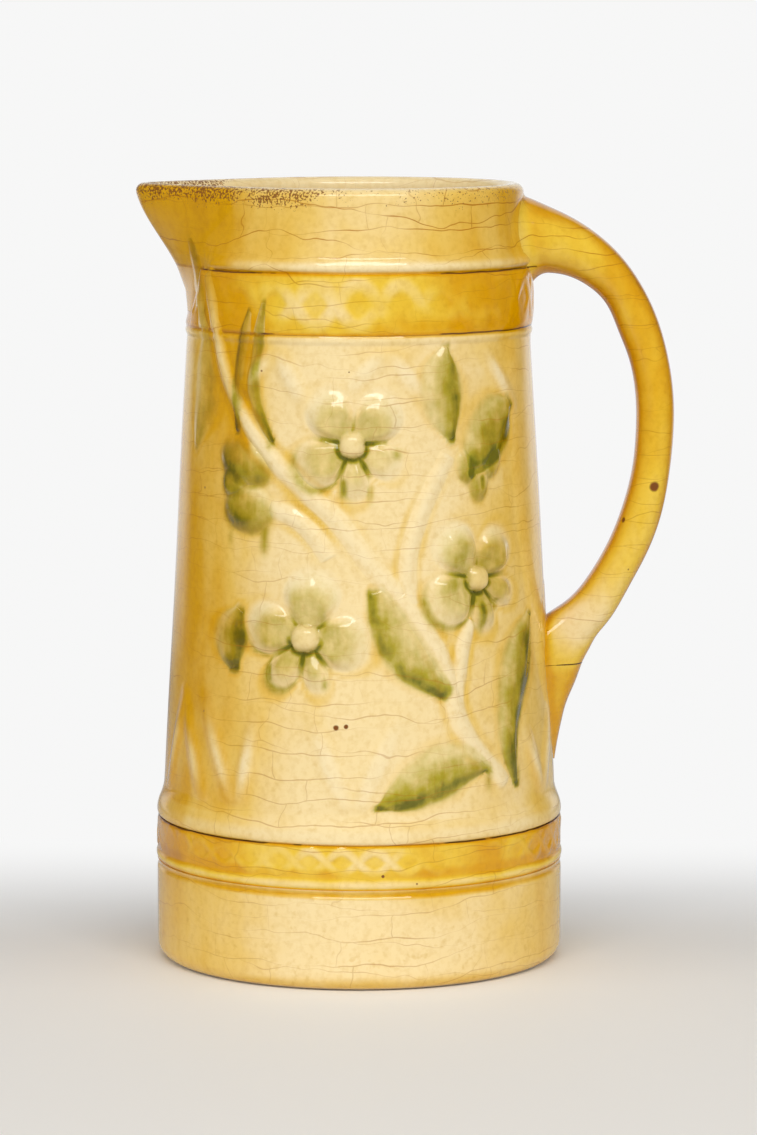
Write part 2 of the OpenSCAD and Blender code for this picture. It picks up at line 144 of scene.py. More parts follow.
# one output of a shader node, with arithmetic that adds Math nodes
class Wire:
    def __init__(self, tree, socket):
        self.tree, self.socket = tree, socket

    # any other node: its kind, its settings, then the wires and values of its inputs
    def node(self, kind, settings=None, inputs=None, output=0):
        made = self.tree.nodes.new(kind)
        for key, value in (settings or {}).items():
            setattr(made, key, value)
        for key, value in (inputs or {}).items():
            if isinstance(value, Wire):
                value.into(made, key)
            else:
                made.inputs[key].default_value = value
        return Wire(self.tree, made.outputs[output])

    def into(self, node, key):
        self.tree.links.new(self.socket, node.inputs[key])

    def math(self, operation, *values):
        return self.node("ShaderNodeMath", {"operation": operation}, dict(enumerate(values)))

    def __add__(self, other): return self.math("ADD", self, other)
    def __radd__(self, other): return self.math("ADD", other, self)
    def __sub__(self, other): return self.math("SUBTRACT", self, other)
    def __rsub__(self, other): return self.math("SUBTRACT", other, self)
    def __mul__(self, other): return self.math("MULTIPLY", self, other)
    def __rmul__(self, other): return self.math("MULTIPLY", other, self)
    def __truediv__(self, other): return self.math("DIVIDE", self, other)
    def __rtruediv__(self, other): return self.math("DIVIDE", other, self)

    def size(self): return self.math("ABSOLUTE", self)
    def most(self, other): return self.math("MAXIMUM", self, other)

    # smooth step from 0 at low to 1 at high, which may lie below low
    def step(self, low, high):
        ends = {1: low, 2: high, 3: 0.0, 4: 1.0} if low < high else {1: high, 2: low, 3: 1.0, 4: 0.0}
        return self.node("ShaderNodeMapRange", {"interpolation_type": "SMOOTHSTEP"}, {0: self, **ends})

    # colour between a and b, with this value as the share of b
    def mix(self, a, b, blend="MIX"):
        a, b = (c if isinstance(c, Wire) else (*c, 1) for c in (a, b))
        return self.node("ShaderNodeMix", {"data_type": "RGBA", "blend_type": blend}, {0: self, 6: a, 7: b}, 2)

    # colour multiplied by a tint, as far as this value says
    def tint(self, colour, by):
        return self.mix(colour, by, "MULTIPLY")

    # one coordinate of this place, its distance from the upright axis, and noise there
    def axis(self, index):
        return self.node("ShaderNodeSeparateXYZ", None, {0: self}, index)

    def fromAxis(self):
        flat = self.node("ShaderNodeMapping", None, {0: self, 3: (1.0, 1.0, 0.0)})
        return self.node("ShaderNodeVectorMath", {"operation": "LENGTH"}, {0: flat}, 1)

    def noise(self, scale, detail=2.0, shift=(0, 0, 0), stretch=(1, 1, 1)):
        place = self.node("ShaderNodeMapping", None, {0: self, 1: shift, 3: stretch})
        return self.node("ShaderNodeTexNoise", None, {0: place, "Scale": scale, "Detail": detail})


# new material with constants on its shader, and the wire of its Object coordinates
def startMaterial(name, constants):
    material = bpy.data.materials.new(name)
    material.use_nodes = True
    tree = material.node_tree
    shader = tree.nodes["Principled BSDF"]
    for key, value in constants.items():
        shader.inputs[key].default_value = value
    return material, shader, Wire(tree, tree.nodes.new("ShaderNodeTexCoord").outputs["Object"])


# feeds colour, roughness and a bump of some strength and distance to the shader
def finishMaterial(shader, colour, rough, height, strength, distance):
    colour.into(shader, "Base Color")
    rough.into(shader, "Roughness")
    bump = {"Strength": strength, "Distance": distance, "Height": height}
    height.node("ShaderNodeBump", None, bump).into(shader, "Normal")


# colours, heights and widths in m, and each ware's thin and thick colour and share of crazing
glaze = dict(
    cream=(0.94, 0.745, 0.395), paleSheenCream=(0.95, 0.80, 0.50), yellow=(0.84, 0.56, 0.12),
    amber=(0.72, 0.37, 0.001), gold=(0.87, 0.585, 0.05), deepGold=(0.735, 0.355, 0.0),
    brownTint=(0.76, 0.66, 0.5), washTint=(0.87, 0.86, 0.70), greenTint=(0.54, 0.56, 0.10),
    deepTint=(0.36, 0.43, 0.15), mottle=(0.90, 0.84, 0.70), crack=(0.43, 0.145, 0.0),
    wear=(0.21, 0.065, 0.006), burnt=(0.105, 0.034, 0.005), clay=(0.70, 0.55, 0.36),
    rim=0.2465, wallR=0.058, crazeHalf=0.00019, seamHalf=0.00032, pinholes=105.0,
    bumpStrength=0.22, bumpDistance=0.0004,
    wares=[("cream_glaze", "yellow", "amber", 0.95), ("gold_glaze", "gold", "deepGold", 0.95),
           ("green_glaze", "yellow", "amber", 0.85)],
    shader={"IOR": 1.5, "Specular IOR Level": 0.36, "Coat Weight": 0.12, "Coat Roughness": 0.03, "Coat IOR": 1.5})
# scale, detail, shift and stretch of each noise in the glaze
glazeNoise = dict(
    cloud=(24.0, 3.0), grain=(105.0, 4.0, (0.3, 0.1, 0.7)), drift=(50.0, 2.0, (0.9, 0.4, 0.2), (1, 1, 0.35)),
    trickle=(150.0, 3.0, (0.5, 0.2, 0.6), (1, 1, 0.2)), fine=(520.0, 3.0, (0.6, 0.1, 0.2)),
    aged=(16.0, 4.0, (0.7, 0.1, 0.4)), freckle=(330.0, 4.0, (0.1, 0.6, 0.2)), blot=(165.0, 4.0, (0.2, 0.9, 0.3)),
    streak=(330.0, 2.0, (0.5, 0.1, 0.8), (1, 1, 0.22)), fray=(60.0, 2.0, (0.6, 0.3, 0.3)),
    clump=(75.0, 3.0, (0.8, 0.5, 0.1)), specks=(1450.0, 3.0, (0.2, 0.5, 0.5)),
    wander=(120.0, 1.0, (0.1, 0.1, 0.9)), dashes=(90.0, 4.0, (0.8, 0.2, 0.6), (1, 1, 0.2)),
    skin=(150.0, 2.0, (0.4, 0.4, 0.4)), fuzz=(420.0, 2.0))
# gap between long craze lines and between their links, sway of the lines, strength and shift of the noise
crazeNets = [(0.0074, 0.019, 2.4, 1.0, 0.10), (0.0105, 0.027, 4.2, 0.9, 0.62)]
# height of each burnt seam, the radius it stays within, and where along X it starts
seamLines = [(0.2206, 0.0566, -0.0485), (0.2021, 0.0566, -0.030), (0.0456, 0.0668, -0.07)]
# place and radius of the larger marks
spots = [((-0.0068, -0.0605, 0.0819), 0.0010), ((-0.0038, -0.0608, 0.0823), 0.0007),
         ((0.0076, -0.0642, 0.0362), 0.0005), ((-0.0479, -0.0375, 0.0837), 0.0007),
         ((0.0313, -0.0521, 0.0843), 0.0006), ((0.0076, -0.0556, 0.1674), 0.0006),
         ((-0.0028, -0.0548, 0.1909), 0.0004), ((0.0934, -0.0083, 0.1508), 0.0017),
         ((0.0837, -0.0059, 0.1401), 0.0012)]


# craze lines: long ones that follow height plus slow noise, and short links between one line and the next
def crazeNet(place, high, around, nearTop, gap, link, sway, most, shift):
    slow, quick = place.noise(9.0, 2.0, (shift, 0.2, shift)), place.noise(62.0, 2.0, (0.1, shift, 0.3))
    level = high / gap + slow * sway + quick * 0.75
    strip = level.math("FLOOR", level)
    start = place.node("ShaderNodeTexWhiteNoise", {"noise_dimensions": "1D"}, {"W": strip + shift})
    run = around / link + start * 7.0 + place.noise(70.0, 2.0, (shift, 0.7, 0.5)) * 0.6
    cell = place.node("ShaderNodeCombineXYZ", None, {0: strip, 1: run.math("ROUND", run), 2: shift})
    kept = place.node("ShaderNodeTexWhiteNoise", {"noise_dimensions": "3D"}, {"Vector": cell}).step(0.45, 0.50)
    strong = (place.noise(34.0, 3.0, (shift, shift, 0.4)) + nearTop * 0.08).step(0.36, 0.68)
    half = (0.40 + strong * 0.9) * glaze["crazeHalf"]
    lines = (level.math("PINGPONG", level, 0.5) * gap / half).step(1.0, 0.3)
    links = (run.math("PINGPONG", run, 0.5) * link / half).step(0.9, 0.25) * kept * 0.7
    return lines.most(links) * (0.14 + strong * 0.86) * most


# glossy lead glaze: cream to gold by depth of pool, stained green, crazed, with pinholes, worn rim and burnt seams
def glazeMaterial(name, thin, thick, crazeShare):
    g = glaze
    material, shader, place = startMaterial(name, g["shader"])
    green, pool, paleAndSheen, stain = (place.node("ShaderNodeAttribute", {"attribute_name": key}, None, 2)
                                for key in fieldNames)
    across, deep, high = (place.axis(index) for index in range(3))
    out = place.fromAxis()
    (cloud, grain, drift, trickle, fine, aged, freckle, blot, streak, fray, clump, specks, wander, dashes,
     skin, fuzz) = (place.noise(*spec) for spec in glazeNoise.values())

    depth = pool + (cloud - 0.5) * (0.40 + pool * 0.45) + (drift - 0.5) * (0.34 + pool * 0.62)
    depth = depth + (grain - 0.5) * 0.28 + (trickle - 0.5) * pool * 0.42
    colour = depth.step(-0.05, 0.60).mix(g["cream"], g[thin])
    colour = depth.step(0.42, 1.06).mix(colour, g[thick])
    colour = depth.step(1.10, 1.70).tint(colour, g["brownTint"])
    # paler cream where glaze thins over raised parts, and painted highlight on upper rims, ridges and the inside
    colour = (paleAndSheen * (0.5 + grain * 0.8) * depth.step(0.95, 0.25)).mix(colour, g["paleSheenCream"])
    colour = (fine.step(0.40, 0.72) * 0.55).tint(colour, g["mottle"])
    freckles = freckle.step(0.56, 0.74) * (0.55 + high.step(0.034, 0.012) * 0.35)    # more of them low on the foot
    colour = (aged.step(0.50, 0.74) * 0.40 + freckles).tint(colour, g["mottle"])

    # green lies unevenly: blots a few mm wide and fine streaks that run down
    wash = green * (0.05 + blot * 1.25 + streak * 0.62)
    for low, full, tint in ((0.02, 0.42, "washTint"), (0.26, 0.78, "greenTint"), (0.68, 1.15, "deepTint")):
        colour = wash.step(low, full).tint(colour, g[tint])

    # crazing is stronger near the rim and fainter on the inside
    around = across.math("ARCTAN2", across, deep.size()) * g["wallR"]
    nearTop = high.step(0.212, 0.228)
    first, second = (crazeNet(place, high, around, nearTop, *net) for net in crazeNets)
    craze = first.most(second) * (0.36 + cloud * 0.26 + nearTop * 0.42) * crazeShare
    craze = craze * (0.4 + out.step(0.0480, 0.0505) * 0.6)
    colour = craze.mix(colour, g["crack"])

    # pinholes sit in some cells of a Voronoi pattern, each with its own size
    cells = {0: place, "Scale": g["pinholes"]}
    near, chance = (place.node("ShaderNodeTexVoronoi", None, cells, output) for output in range(2))
    chance = place.node("ShaderNodeSeparateColor", None, {0: chance})
    pinhole = (near / (chance.step(0.55, 1.0) * 0.055 + 0.0005)).step(1.0, 0.5)

    # worn rim: brown specks that crowd towards the spout
    nearRim = (high + (fray - 0.5) * 0.008).step(g["rim"] - 0.009, g["rim"] - 0.001)
    crowd = nearRim * out.step(0.0475, 0.0505) * clump.step(0.16, 0.50)
    crowd = crowd * (0.30 + cloud * 0.5 + across.step(0.012, -0.035) * 0.50) + stain * 0.45
    worn = (specks + crowd * 0.27).step(0.74, 0.80) * crowd.step(0.02, 0.25)
    marks = (pinhole * 0.85).most(worn * 0.9)
    for spot, size in spots:
        far = place.node("ShaderNodeVectorMath", {"operation": "DISTANCE"}, {0: place, 1: spot}, 1)
        marks = marks.most((far + (grain - 0.5) * 0.0018).step(size, size * 0.55))
    colour = marks.mix(colour, g["wear"])

    # burnt seams at the edges of the bands, on the outside only, broken along their length
    seam = None
    for height, reach, start in seamLines:
        found = (high - height + (wander - 0.5) * 0.0007).size().step(g["seamHalf"], g["seamHalf"] * 0.35)
        found = found * out.step(reach + 0.0004, reach) * across.step(start - 0.001, start + 0.001)
        found = found * out.step(reach - 0.0068, reach - 0.0060)
        seam = found if seam is None else seam.most(found)
    seam = seam * (dashes + across.size().step(0.010, 0.040) * 0.34).step(0.60, 0.72)
    colour = (seam.most(stain.step(0.75, 1.0)) * 0.9).mix(colour, g["burnt"])
    bare = high.step(0.0012, 0.0004)
    colour = bare.mix(colour, g["clay"])
    rough = 0.03 + grain * 0.05 + marks * 0.35 + craze * 0.10 + bare * 0.5
    height = skin * 0.55 + fuzz * 0.12 - marks * 0.3
    finishMaterial(shader, colour, rough, height, g["bumpStrength"], g["bumpDistance"])
    return material


floorClay = dict(dark=(0.58, 0.43, 0.27), light=(0.76, 0.62, 0.43), speck=(0.30, 0.17, 0.08), glazed=(0.0055, 0.0065),
                 bumpStrength=0.3, bumpDistance=0.0005)
slip = dict(thick=(0.74, 0.42, 0.03), thin=(0.84, 0.58, 0.17), bumpStrength=0.25, bumpDistance=0.0004)


# bare clay under the floor, with turning rings about the axis, and glaze on the side that the jug's inside shows
def floorMaterial():
    c = floorClay
    material, shader, place = startMaterial("bare_clay", {"IOR": 1.5})
    grain, cloud = place.noise(260.0, 4.0), place.noise(30.0, 3.0)
    turned = place.fromAxis() * 1900.0 + cloud * 6.0
    rings = turned.math("SINE", turned)
    clay = (grain * 0.6 + rings * 0.08 + cloud * 0.3).step(0.2, 0.75).mix(c["dark"], c["light"])
    clay = (place.noise(500.0, 1.0, (0.3, 0.3, 0.3)).step(0.68, 0.74) * 0.6).mix(clay, c["speck"])
    shine = (cloud + grain * 0.3).step(0.3, 0.9).mix(glaze["cream"], glaze["yellow"])
    inside = place.axis(2).step(*c["glazed"])
    rough = 0.82 - inside * 0.68 + grain * 0.08
    height = grain + rings * 0.25
    finishMaterial(shader, inside.mix(clay, shine), rough, height, c["bumpStrength"], c["bumpDistance"])
    return material


# luting slip round the handle's roots: gold under the glaze, with a few brown pits
def slipMaterial():
    material, shader, place = startMaterial("luting_slip", {"IOR": 1.52, "Coat Weight": 0.3, "Coat Roughness": 0.04})
    grain, cloud = place.noise(140.0, 3.0), place.noise(40.0, 2.0, (0.2, 0.7, 0.1))
    colour = (grain * 0.5 + cloud * 0.6).step(0.3, 0.8).mix(slip["thick"], slip["thin"])
    pits = place.noise(300.0, 1.0, (0.6, 0.2, 0.4)).step(0.66, 0.72) * 0.35
    rough = 0.14 + grain * 0.12
    finishMaterial(shader, pits.mix(colour, glaze["wear"]), rough, grain, slip["bumpStrength"], slip["bumpDistance"])
    return material


for ware in glaze["wares"]:
    materials[ware[0]] = glazeMaterial(*ware)
materials["bare_clay"] = floorMaterial()
materials["luting_slip"] = slipMaterial()
print("glazes made")

# sizes in mm; grooves and beads are (height, half height, depth), outlines are (radius, height)
jug = dict(
    rim=246.5, wallT=6.0, footR=64.6, footEdge=5.0, ringIn=50.6, hollow=3.0, floorTop=9.0, floorR=58.7,
    panelLow=(62.4, 55.5), panelTop=(54.4, 198.6), collarLow=54.2, collarTop=52.0, collarZ=(224.8, 243.5), lip=3.0,
    lowBedR=62.9, topBedR=53.0, ledgeR=54.5,
    groove=(30.4, 1.5, 0.55), underBead=(200.4, 1.8, 0.5), ridge=(222.6, 2.1, 2.9, 1.0),
    shoulder=[(63.4, 45.4), (64.3, 46.2), (64.6, 47.3), (64.5, 48.6), (64.1, 50.2), (63.4, 52.0), (62.8, 53.8),
              (62.4, 55.5)],
    innerLine=[(58.7, 3.0), (58.7, 47.0), (56.4, 55.0), (48.4, 199.1), (46.0, 222.5), (46.0, 243.5)],
    columns=288, panelRows=124, underSpout=29)
spout = dict(foot=206.5, reach=70.6, lowHalf=14.0, openAngle=69.0, tipRound=5.0, power=1.15, columns=72)
spoutTopHalf = (jug["collarTop"] - jug["wallT"]) * math.sin(spout["openAngle"] * rad)
bandUpper = dict(low=201.9, high=220.7, r=54.9, crossings=26, strapHalf=2.7, swing=0.33, lift=0.42,
                 columns=780, rows=34)
bandLower = dict(low=31.6, high=45.6, r=64.35, crossings=40, strapHalf=1.55, swing=0.33, lift=0.40,
                 columns=880, rows=32, bead=(33.5, 1.9, 0.55))


# plain wall radius at a height: panel, then the collar that narrows as a cube of what is left of its height
def plainRadius(z):
    (lowR, lowZ), (topR, topZ) = jug["panelLow"], jug["panelTop"]
    z = np.asarray(z, float)
    panel = lowR + (topR - lowR) * (z - lowZ) / (topZ - lowZ)
    u = np.clip((z - jug["collarZ"][0]) / (jug["collarZ"][1] - jug["collarZ"][0]), 0, 1)
    collar = jug["collarTop"] + (jug["collarLow"] - jug["collarTop"]) * (1 - u) ** 3
    return np.where(z < topZ, np.maximum(panel, topR), collar)


# collar ridge: a hump whose upper side is longer than its lower one
def ridgeRise(z):
    middle, below, above, lift = jug["ridge"]
    return lift * hump(z, middle, np.where(np.asarray(z) > middle, above, below))


# how far the bead, the upper band and the collar ridge stand out of the plain wall
def proudOfWall(z):
    middle, half, lift = jug["underBead"]
    band = (bandUpper["r"] - jug["collarLow"]) * ease(201.7, 202.5, z) * ease(220.7, 219.9, z)
    return lift * hump(z, middle, half) + ridgeRise(z) + band


# radius of the inside, straight between the points of its line
def innerRadius(z):
    line = np.array(jug["innerLine"])
    return np.interp(z, line[:, 1], line[:, 0])


# half width of the wedge cut out of the wall for the spout
def notchHalf(z):
    return spout["lowHalf"] + (spoutTopHalf - spout["lowHalf"]) * (z - spout["foot"]) / (jug["rim"] - spout["foot"])


# reach of the throat: a smooth step from the wall at the spout's foot to the tip at the rim
def throatReach(z):
    u = np.clip((np.asarray(z, float) - spout["foot"]) / (jug["rim"] - spout["foot"]), 0, 1) ** spout["power"]
    low = jug["collarLow"]
    return np.maximum(plainRadius(z), low + (spout["reach"] - low) * u * u * (3 - 2 * u))


# plan radius of the beak: two tangents to a circle that meet, rounded, at the reach
def beakRadius(circle, reach, angle):
    blunt = spout["tipRound"] * rad
    touch = np.arccos(np.minimum(1, circle / np.maximum(reach, circle)))
    return circle / np.cos(np.maximum(0, touch - (np.sqrt(angle * angle + blunt * blunt) - blunt)))


# faint trellis behind the flowers: straight ribs given by the angle and height of their ends
trellis = dict(half=4.6, lift=0.95, ribs=[
    ((-52, 87.5), (-38.7, 55.9)), ((-31.5, 84.3), (-36.8, 55.9)), ((-14.1, 85.3), (-2.7, 55.7)),
    ((12.2, 85.3), (-0.8, 55.7)), ((-28, 198), (-17.1, 181)), ((43.6, 198), (58.9, 179.1)),
    ((-28.5, 198), (-38.1, 185)), ((8.9, 198), (21.4, 183)), ((8.9, 198), (-3.6, 185)), ((-64, 86.6), (-51.3, 56)),
    ((-74.6, 56.1), (-64, 86.6)), ((68.6, 56), (78.7, 80.4)), ((68.6, 56), (58.5, 76.3))])
chartR = 58.0


# angle and height on the wall as flat mm: across at one middle radius, and up
def chart(angle, z):
    return np.stack(np.broadcast_arrays(np.asarray(angle, float) * rad * chartR, np.asarray(z, float)), -1)


# distance of points from a straight rib, and how far along it they lie
def fromRib(q, ends):
    a, b = chart(*ends[0]), chart(*ends[1])
    along = np.clip(((q - a) @ (b - a)) / ((b - a) @ (b - a)), 0, 1)
    return np.linalg.norm(q - a - along[..., None] * (b - a), axis=-1), along


# height of the trellis and of the slow unevenness that hand finishing leaves, and the trellis alone
def panelRelief(angle, z):
    q = chart(angle, z)
    ribs = np.zeros(q.shape[:-1])
    for ends in trellis["ribs"]:
        gap, along = fromRib(q, ends)
        ribs = np.maximum(ribs, hump(gap, 0, trellis["half"]) * (0.35 + 0.65 * hump(along, 0.55, 0.62)))
    wave = 0.10 * np.sin(angle * rad * 3 + z / 31) + 0.07 * np.sin(angle * rad * 8 - z / 13 + 1.3)
    onPanel = ease(54.5, 58.5, z) * ease(199, 196, z)
    return onPanel * (trellis["lift"] * ribs + wave), onPanel * ribs


# the jug's outer skin: angle is from the front, positive to the handle, and the spout lies at -90
def skinRadius(angle, z):
    fromTip = (np.asarray(angle, float) + 90) * rad
    plain = plainRadius(z)
    beak = np.where(z > spout["foot"], beakRadius(plain, throatReach(z), fromTip), plain)
    arc = plain * np.abs(np.sin(np.minimum(fromTip, math.pi / 2))) - notchHalf(z)
    clear = np.where(z > spout["foot"], ease(0.0, 5.0, arc), 1.0)
    return beak + proudOfWall(z) * clear + panelRelief(angle, z)[0]


# point in mm at an angle, radius and height, on the front (side 1) or mirrored to the back (side -1)
def onJug(angle, radius, z, side=1):
    return np.stack([radius * np.sin(angle * rad), -side * radius * np.cos(angle * rad), z + 0 * radius], -1)


# angle from the front of points on the jug, the same for the back, which mirrors it
def jugAngle(points):
    return np.degrees(np.arctan2(points[..., 0], np.abs(points[..., 1]) + 1e-9))


# flowers: angle and height of the boss, its radius and rise, share of green wash, and petals about it,
# each as (start angle, end angle, reach, share of the relief)
flowers = dict(
    flower_upper=dict(at=(-1.9, 168.7), lift=2.7, boss=(4.0, 3.3), wash=0.46, petals=[
        (4, 86, 19.4, 1.0), (86, 170, 19.2, 1.0), (170, 248, 20.4, 0.95), (248, 300, 17.2, 0.85),
        (300, 364, 17.2, 0.6)]),
    flower_right=dict(at=(38.4, 126.5), lift=2.6, boss=(3.9, 3.3), wash=0.58, petals=[
        (4, 86, 18.6, 1.0), (86, 168, 19.4, 1.0), (168, 256, 20.0, 0.95), (256, 308, 17.4, 0.95),
        (308, 364, 17.2, 0.85)]),
    flower_left=dict(at=(-15.9, 109.3), lift=2.7, boss=(4.2, 3.4), wash=0.54, petals=[
        (-52, 38, 19.8, 0.95), (38, 126, 20.8, 0.85), (126, 210, 19.8, 0.95), (210, 264, 18.6, 0.9),
        (264, 308, 17.6, 0.9)]))
# buds: lobes are (across, up, half width, half length, tilt) from the bud's place
buds = dict(
    bud_left=dict(at=(-37.6, 155), lift=1.8, wash=1.0, lobes=[
        (-1.4, 7.4, 10.6, 7.4, -26), (0.8, -6.4, 9.6, 8.0, -14), (-4.0, 1.2, 6.0, 6.0, 0)]),
    calyx_right=dict(at=(40.7, 156.4), lift=1.2, wash=0.72, lobes=[
        (0.0, 0.6, 4.2, 7.2, -4), (5.8, 5.8, 4.3, 5.8, -24), (-5.0, 4.6, 4.0, 5.6, 20)]))
# leaves: points on the middle line, widths along it, relief, side on which green gathers, share of green,
# depth of the vein and share of the dark edge
leaves = dict(
    bud_right=dict(line=[(37.3, 159.5), (40.7, 164.5), (45.5, 170.5), (51.2, 176.1), (55.6, 179.6)],
                   width=[3, 12.5, 16.5, 15, 5], lift=1.5, dark=-1, green=1.2, vein=0.06, edge=1.0),
    leaf_top=dict(line=[(30.5, 170.5), (28.7, 177), (27.7, 184), (27.9, 191), (29.2, 197.5)],
                  width=[3.0, 10.5, 13.5, 11.5, 2.5], lift=1.25, dark=-1, green=0.95, vein=0.08, edge=1.0),
    leaf_middle=dict(line=[(26, 92.4), (19, 98.8), (13.4, 105.4), (8.6, 115), (5.6, 123)],
                     width=[5.0, 10.5, 12.5, 10.5, 5.5], lift=1.25, dark=1, green=0.95, vein=0.08, edge=1.0),
    leaf_right=dict(line=[(52, 62), (50, 72.2), (50.8, 83.4), (54.1, 94.5), (58.4, 104.7), (62.9, 112.3)],
                    width=[2, 6.5, 10, 14, 12, 3], lift=1.4, dark=-1, green=1.3, vein=0.15, edge=1.0),
    leaf_low=dict(line=[(6.4, 57.6), (13.7, 61.3), (22.4, 66.5), (31.1, 69), (39.7, 67.7)],
                  width=[2.0, 10.5, 14.5, 12.5, 3.0], lift=1.4, dark=-1, green=1.02, vein=0.14, edge=1.0),
    leaf_left=dict(line=[(-39.9, 99.1), (-41.5, 104.7), (-41.3, 110.7), (-38.8, 116.3)],
                   width=[4, 11.5, 12.5, 4], lift=0.9, dark=-1, green=1.0, vein=0.04, edge=1.0),
    leaf_pair_outer=dict(line=[(-41.5, 172.5), (-41.7, 181), (-41.2, 190), (-40, 199), (-37.6, 208)],
                         width=[1.8, 4.4, 5.6, 5.0, 1.8], lift=1.0, dark=1, green=0.95, vein=0.15, edge=0.6),
    leaf_pair_inner=dict(line=[(-28.6, 169.5), (-32.2, 175.5), (-35.6, 184), (-35.2, 194), (-33.6, 203), (-32, 211)],
                         width=[1.6, 3.6, 4.8, 4.8, 3.8, 1.6], lift=1.0, dark=-1, green=0.95, vein=0.15, edge=0.6),
    leaf_under_spout=dict(line=[(-64, 166), (-61.5, 174), (-59, 182.5), (-60.2, 191), (-60.4, 199), (-63, 208),
                                (-67.5, 219), (-71, 229)],
                          width=[4, 12, 16, 13, 8, 9, 9, 3], lift=0.4, dark=-1, green=0.66, vein=0.1, edge=0.3))
# stems: points on the middle line, half width, relief and the share of the length over which the end fades out
stems = dict(
    stem_lower=dict(line=[(46.7, 62.5), (36.9, 73.1), (30.6, 83.8), (28, 94.5), (24.6, 103.5), (20.4, 111), (15.6, 118),
                          (12.6, 122)], half=3.2, lift=1.2, fade=0.001),
    stem_upper=dict(line=[(12.3, 122.7), (3.1, 132.8), (-4.6, 143.4), (-13.2, 151.4), (-22.8, 159.5), (-31.4, 167.5),
                          (-39.5, 177), (-46, 186), (-51, 195), (-54.5, 206), (-57.5, 216), (-60.5, 226)],
                    half=3.2, lift=1.15, fade=0.30),
    stem_to_flower=dict(line=[(30, 88.5), (31.2, 96), (32.2, 102.5), (33.8, 108.5), (36.2, 113.5)],
                        half=2.6, lift=0.95, fade=0.001),
    stem_to_leaf=dict(line=[(16, 120.2), (15, 129.8), (17.1, 140.9), (22.3, 152.9), (29.3, 165)],
                      half=2.9, lift=1.0, fade=0.001),
    stem_to_bud=dict(line=[(-27.6, 148.5), (-20.9, 146.4), (-14.2, 141.4), (-8.9, 133.8)],
                     half=3.0, lift=1.05, fade=0.001))
# runs of green or gold glaze: angle and height of the top, fall, half width, green, pool
runs = [(-12.5, 163, 7, 2.2, 0.55, 0), (-4.4, 158, 9, 1.2, 0.85, 0), (3.7, 155.9, 8, 1.0, 0.6, 0),
        (11.8, 167, 5, 2.0, 0.5, 0), (39.4, 118.8, 13, 1.3, 1.0, 0), (45.6, 119.8, 6, 1.1, 0.7, 0),
        (-26.8, 100.5, 10, 1.2, 0.7, 0), (-9.8, 97.4, 6, 1.0, 0.6, 0), (-43.1, 144, 12, 1.3, 0.45, 0.5),
        (-30.1, 142.9, 13, 1.4, 0.75, 0.2), (41.2, 158, 8, 1.1, 0.9, 0.1), (46.4, 167, 9, 1.0, 0.7, 0.3),
        (40.8, 66, 9, 1.1, 0.55, 0.2), (25.5, 94.5, 6, 1.6, 0.9, 0), (53.6, 66.1, 8, 1.1, 0.6, 0.3),
        (-63.5, 171, 9, 1.8, 0.5, 0.4), (-29, 171, 7, 1.0, 0.6, 0.1), (61.7, 126.9, 30, 3.0, 0, 0.5),
        (53.6, 64.1, 8, 4.0, 0, 0.4)]
# grids of the sprigs: turns and rings of round ones, steps along and rows over the top of long ones
sprig = dict(turns=108, rings=44, steps=84, rows=31, overhang=0.03, spread=1.3, edgeGrow=0.25, sink=0.05, crease=75,
             lineSteps=90, reachLong=12, reachRound=30)


# bell that falls off as the square of the distance from a middle
def bell(x, middle, width):
    return np.exp(-((x - middle) / width) ** 2)


# pillow over a tilted ellipse: flat in its middle, with soft shoulders down to 0 a little beyond its edge
def pillow(across, up, lobe):
    dx, dz, half, length, tilt = lobe
    c, s = math.cos(tilt * rad), math.sin(tilt * rad)
    x, y = across - dx, up - dz
    far = np.hypot((c * x + s * y) / half, (c * y - s * x) / length)
    return (1 - ease(0.50, 1.12, far)) * (0.92 + 0.08 * (1 - np.minimum(far, 1) ** 2)), far


# nearest place on a sprig's middle line: share of its length, signed distance to its left and overshoot at the ends
def besideLine(q, line):
    points = chart(*np.array(line, float).T)
    last = sprig["lineSteps"] - 1
    curve = through(points, np.linspace(0, len(points) - 1, last + 1))
    flat = q.reshape(-1, 2)
    near = ((flat[:, None] - curve[None]) ** 2).sum(-1).argmin(1)
    heading = np.gradient(curve, axis=0)
    size = np.linalg.norm(heading, axis=1)
    heading = heading / size[:, None]
    off = flat - curve[near]
    ahead = (off * heading[near]).sum(1)
    side = heading[near, 0] * off[:, 1] - heading[near, 1] * off[:, 0]
    share = near / last + np.clip(ahead / size[near], -0.5, 0.5) / last
    over = np.where((near == 0) | (near == last), np.abs(ahead), 0)
    return [value.reshape(q.shape[:-1]) for value in (share, side, over)]


# edge of a flower at an angle about its boss, scalloped as each petal's reach less a power of the way to its side,
# with that petal's share, the angle left to the nearest crease and how far aside of its middle it lies
def petalEdge(spec, turn):
    edge, share, left, aside = (np.zeros(turn.shape) for _ in range(4))
    for start, end, reach, part in spec["petals"]:
        half = (end - start) / 2
        off = np.abs((turn - (start + end) / 2 + 180) % 360 - 180)
        here = off <= half
        edge = np.where(here, reach * (1 - 0.42 * np.minimum(off / half, 1) ** 2.4), edge)
        share, left = np.where(here, part, share), np.where(here, half - off, left)
        aside = np.where(here, off / half, aside)
    return edge, share, left, aside
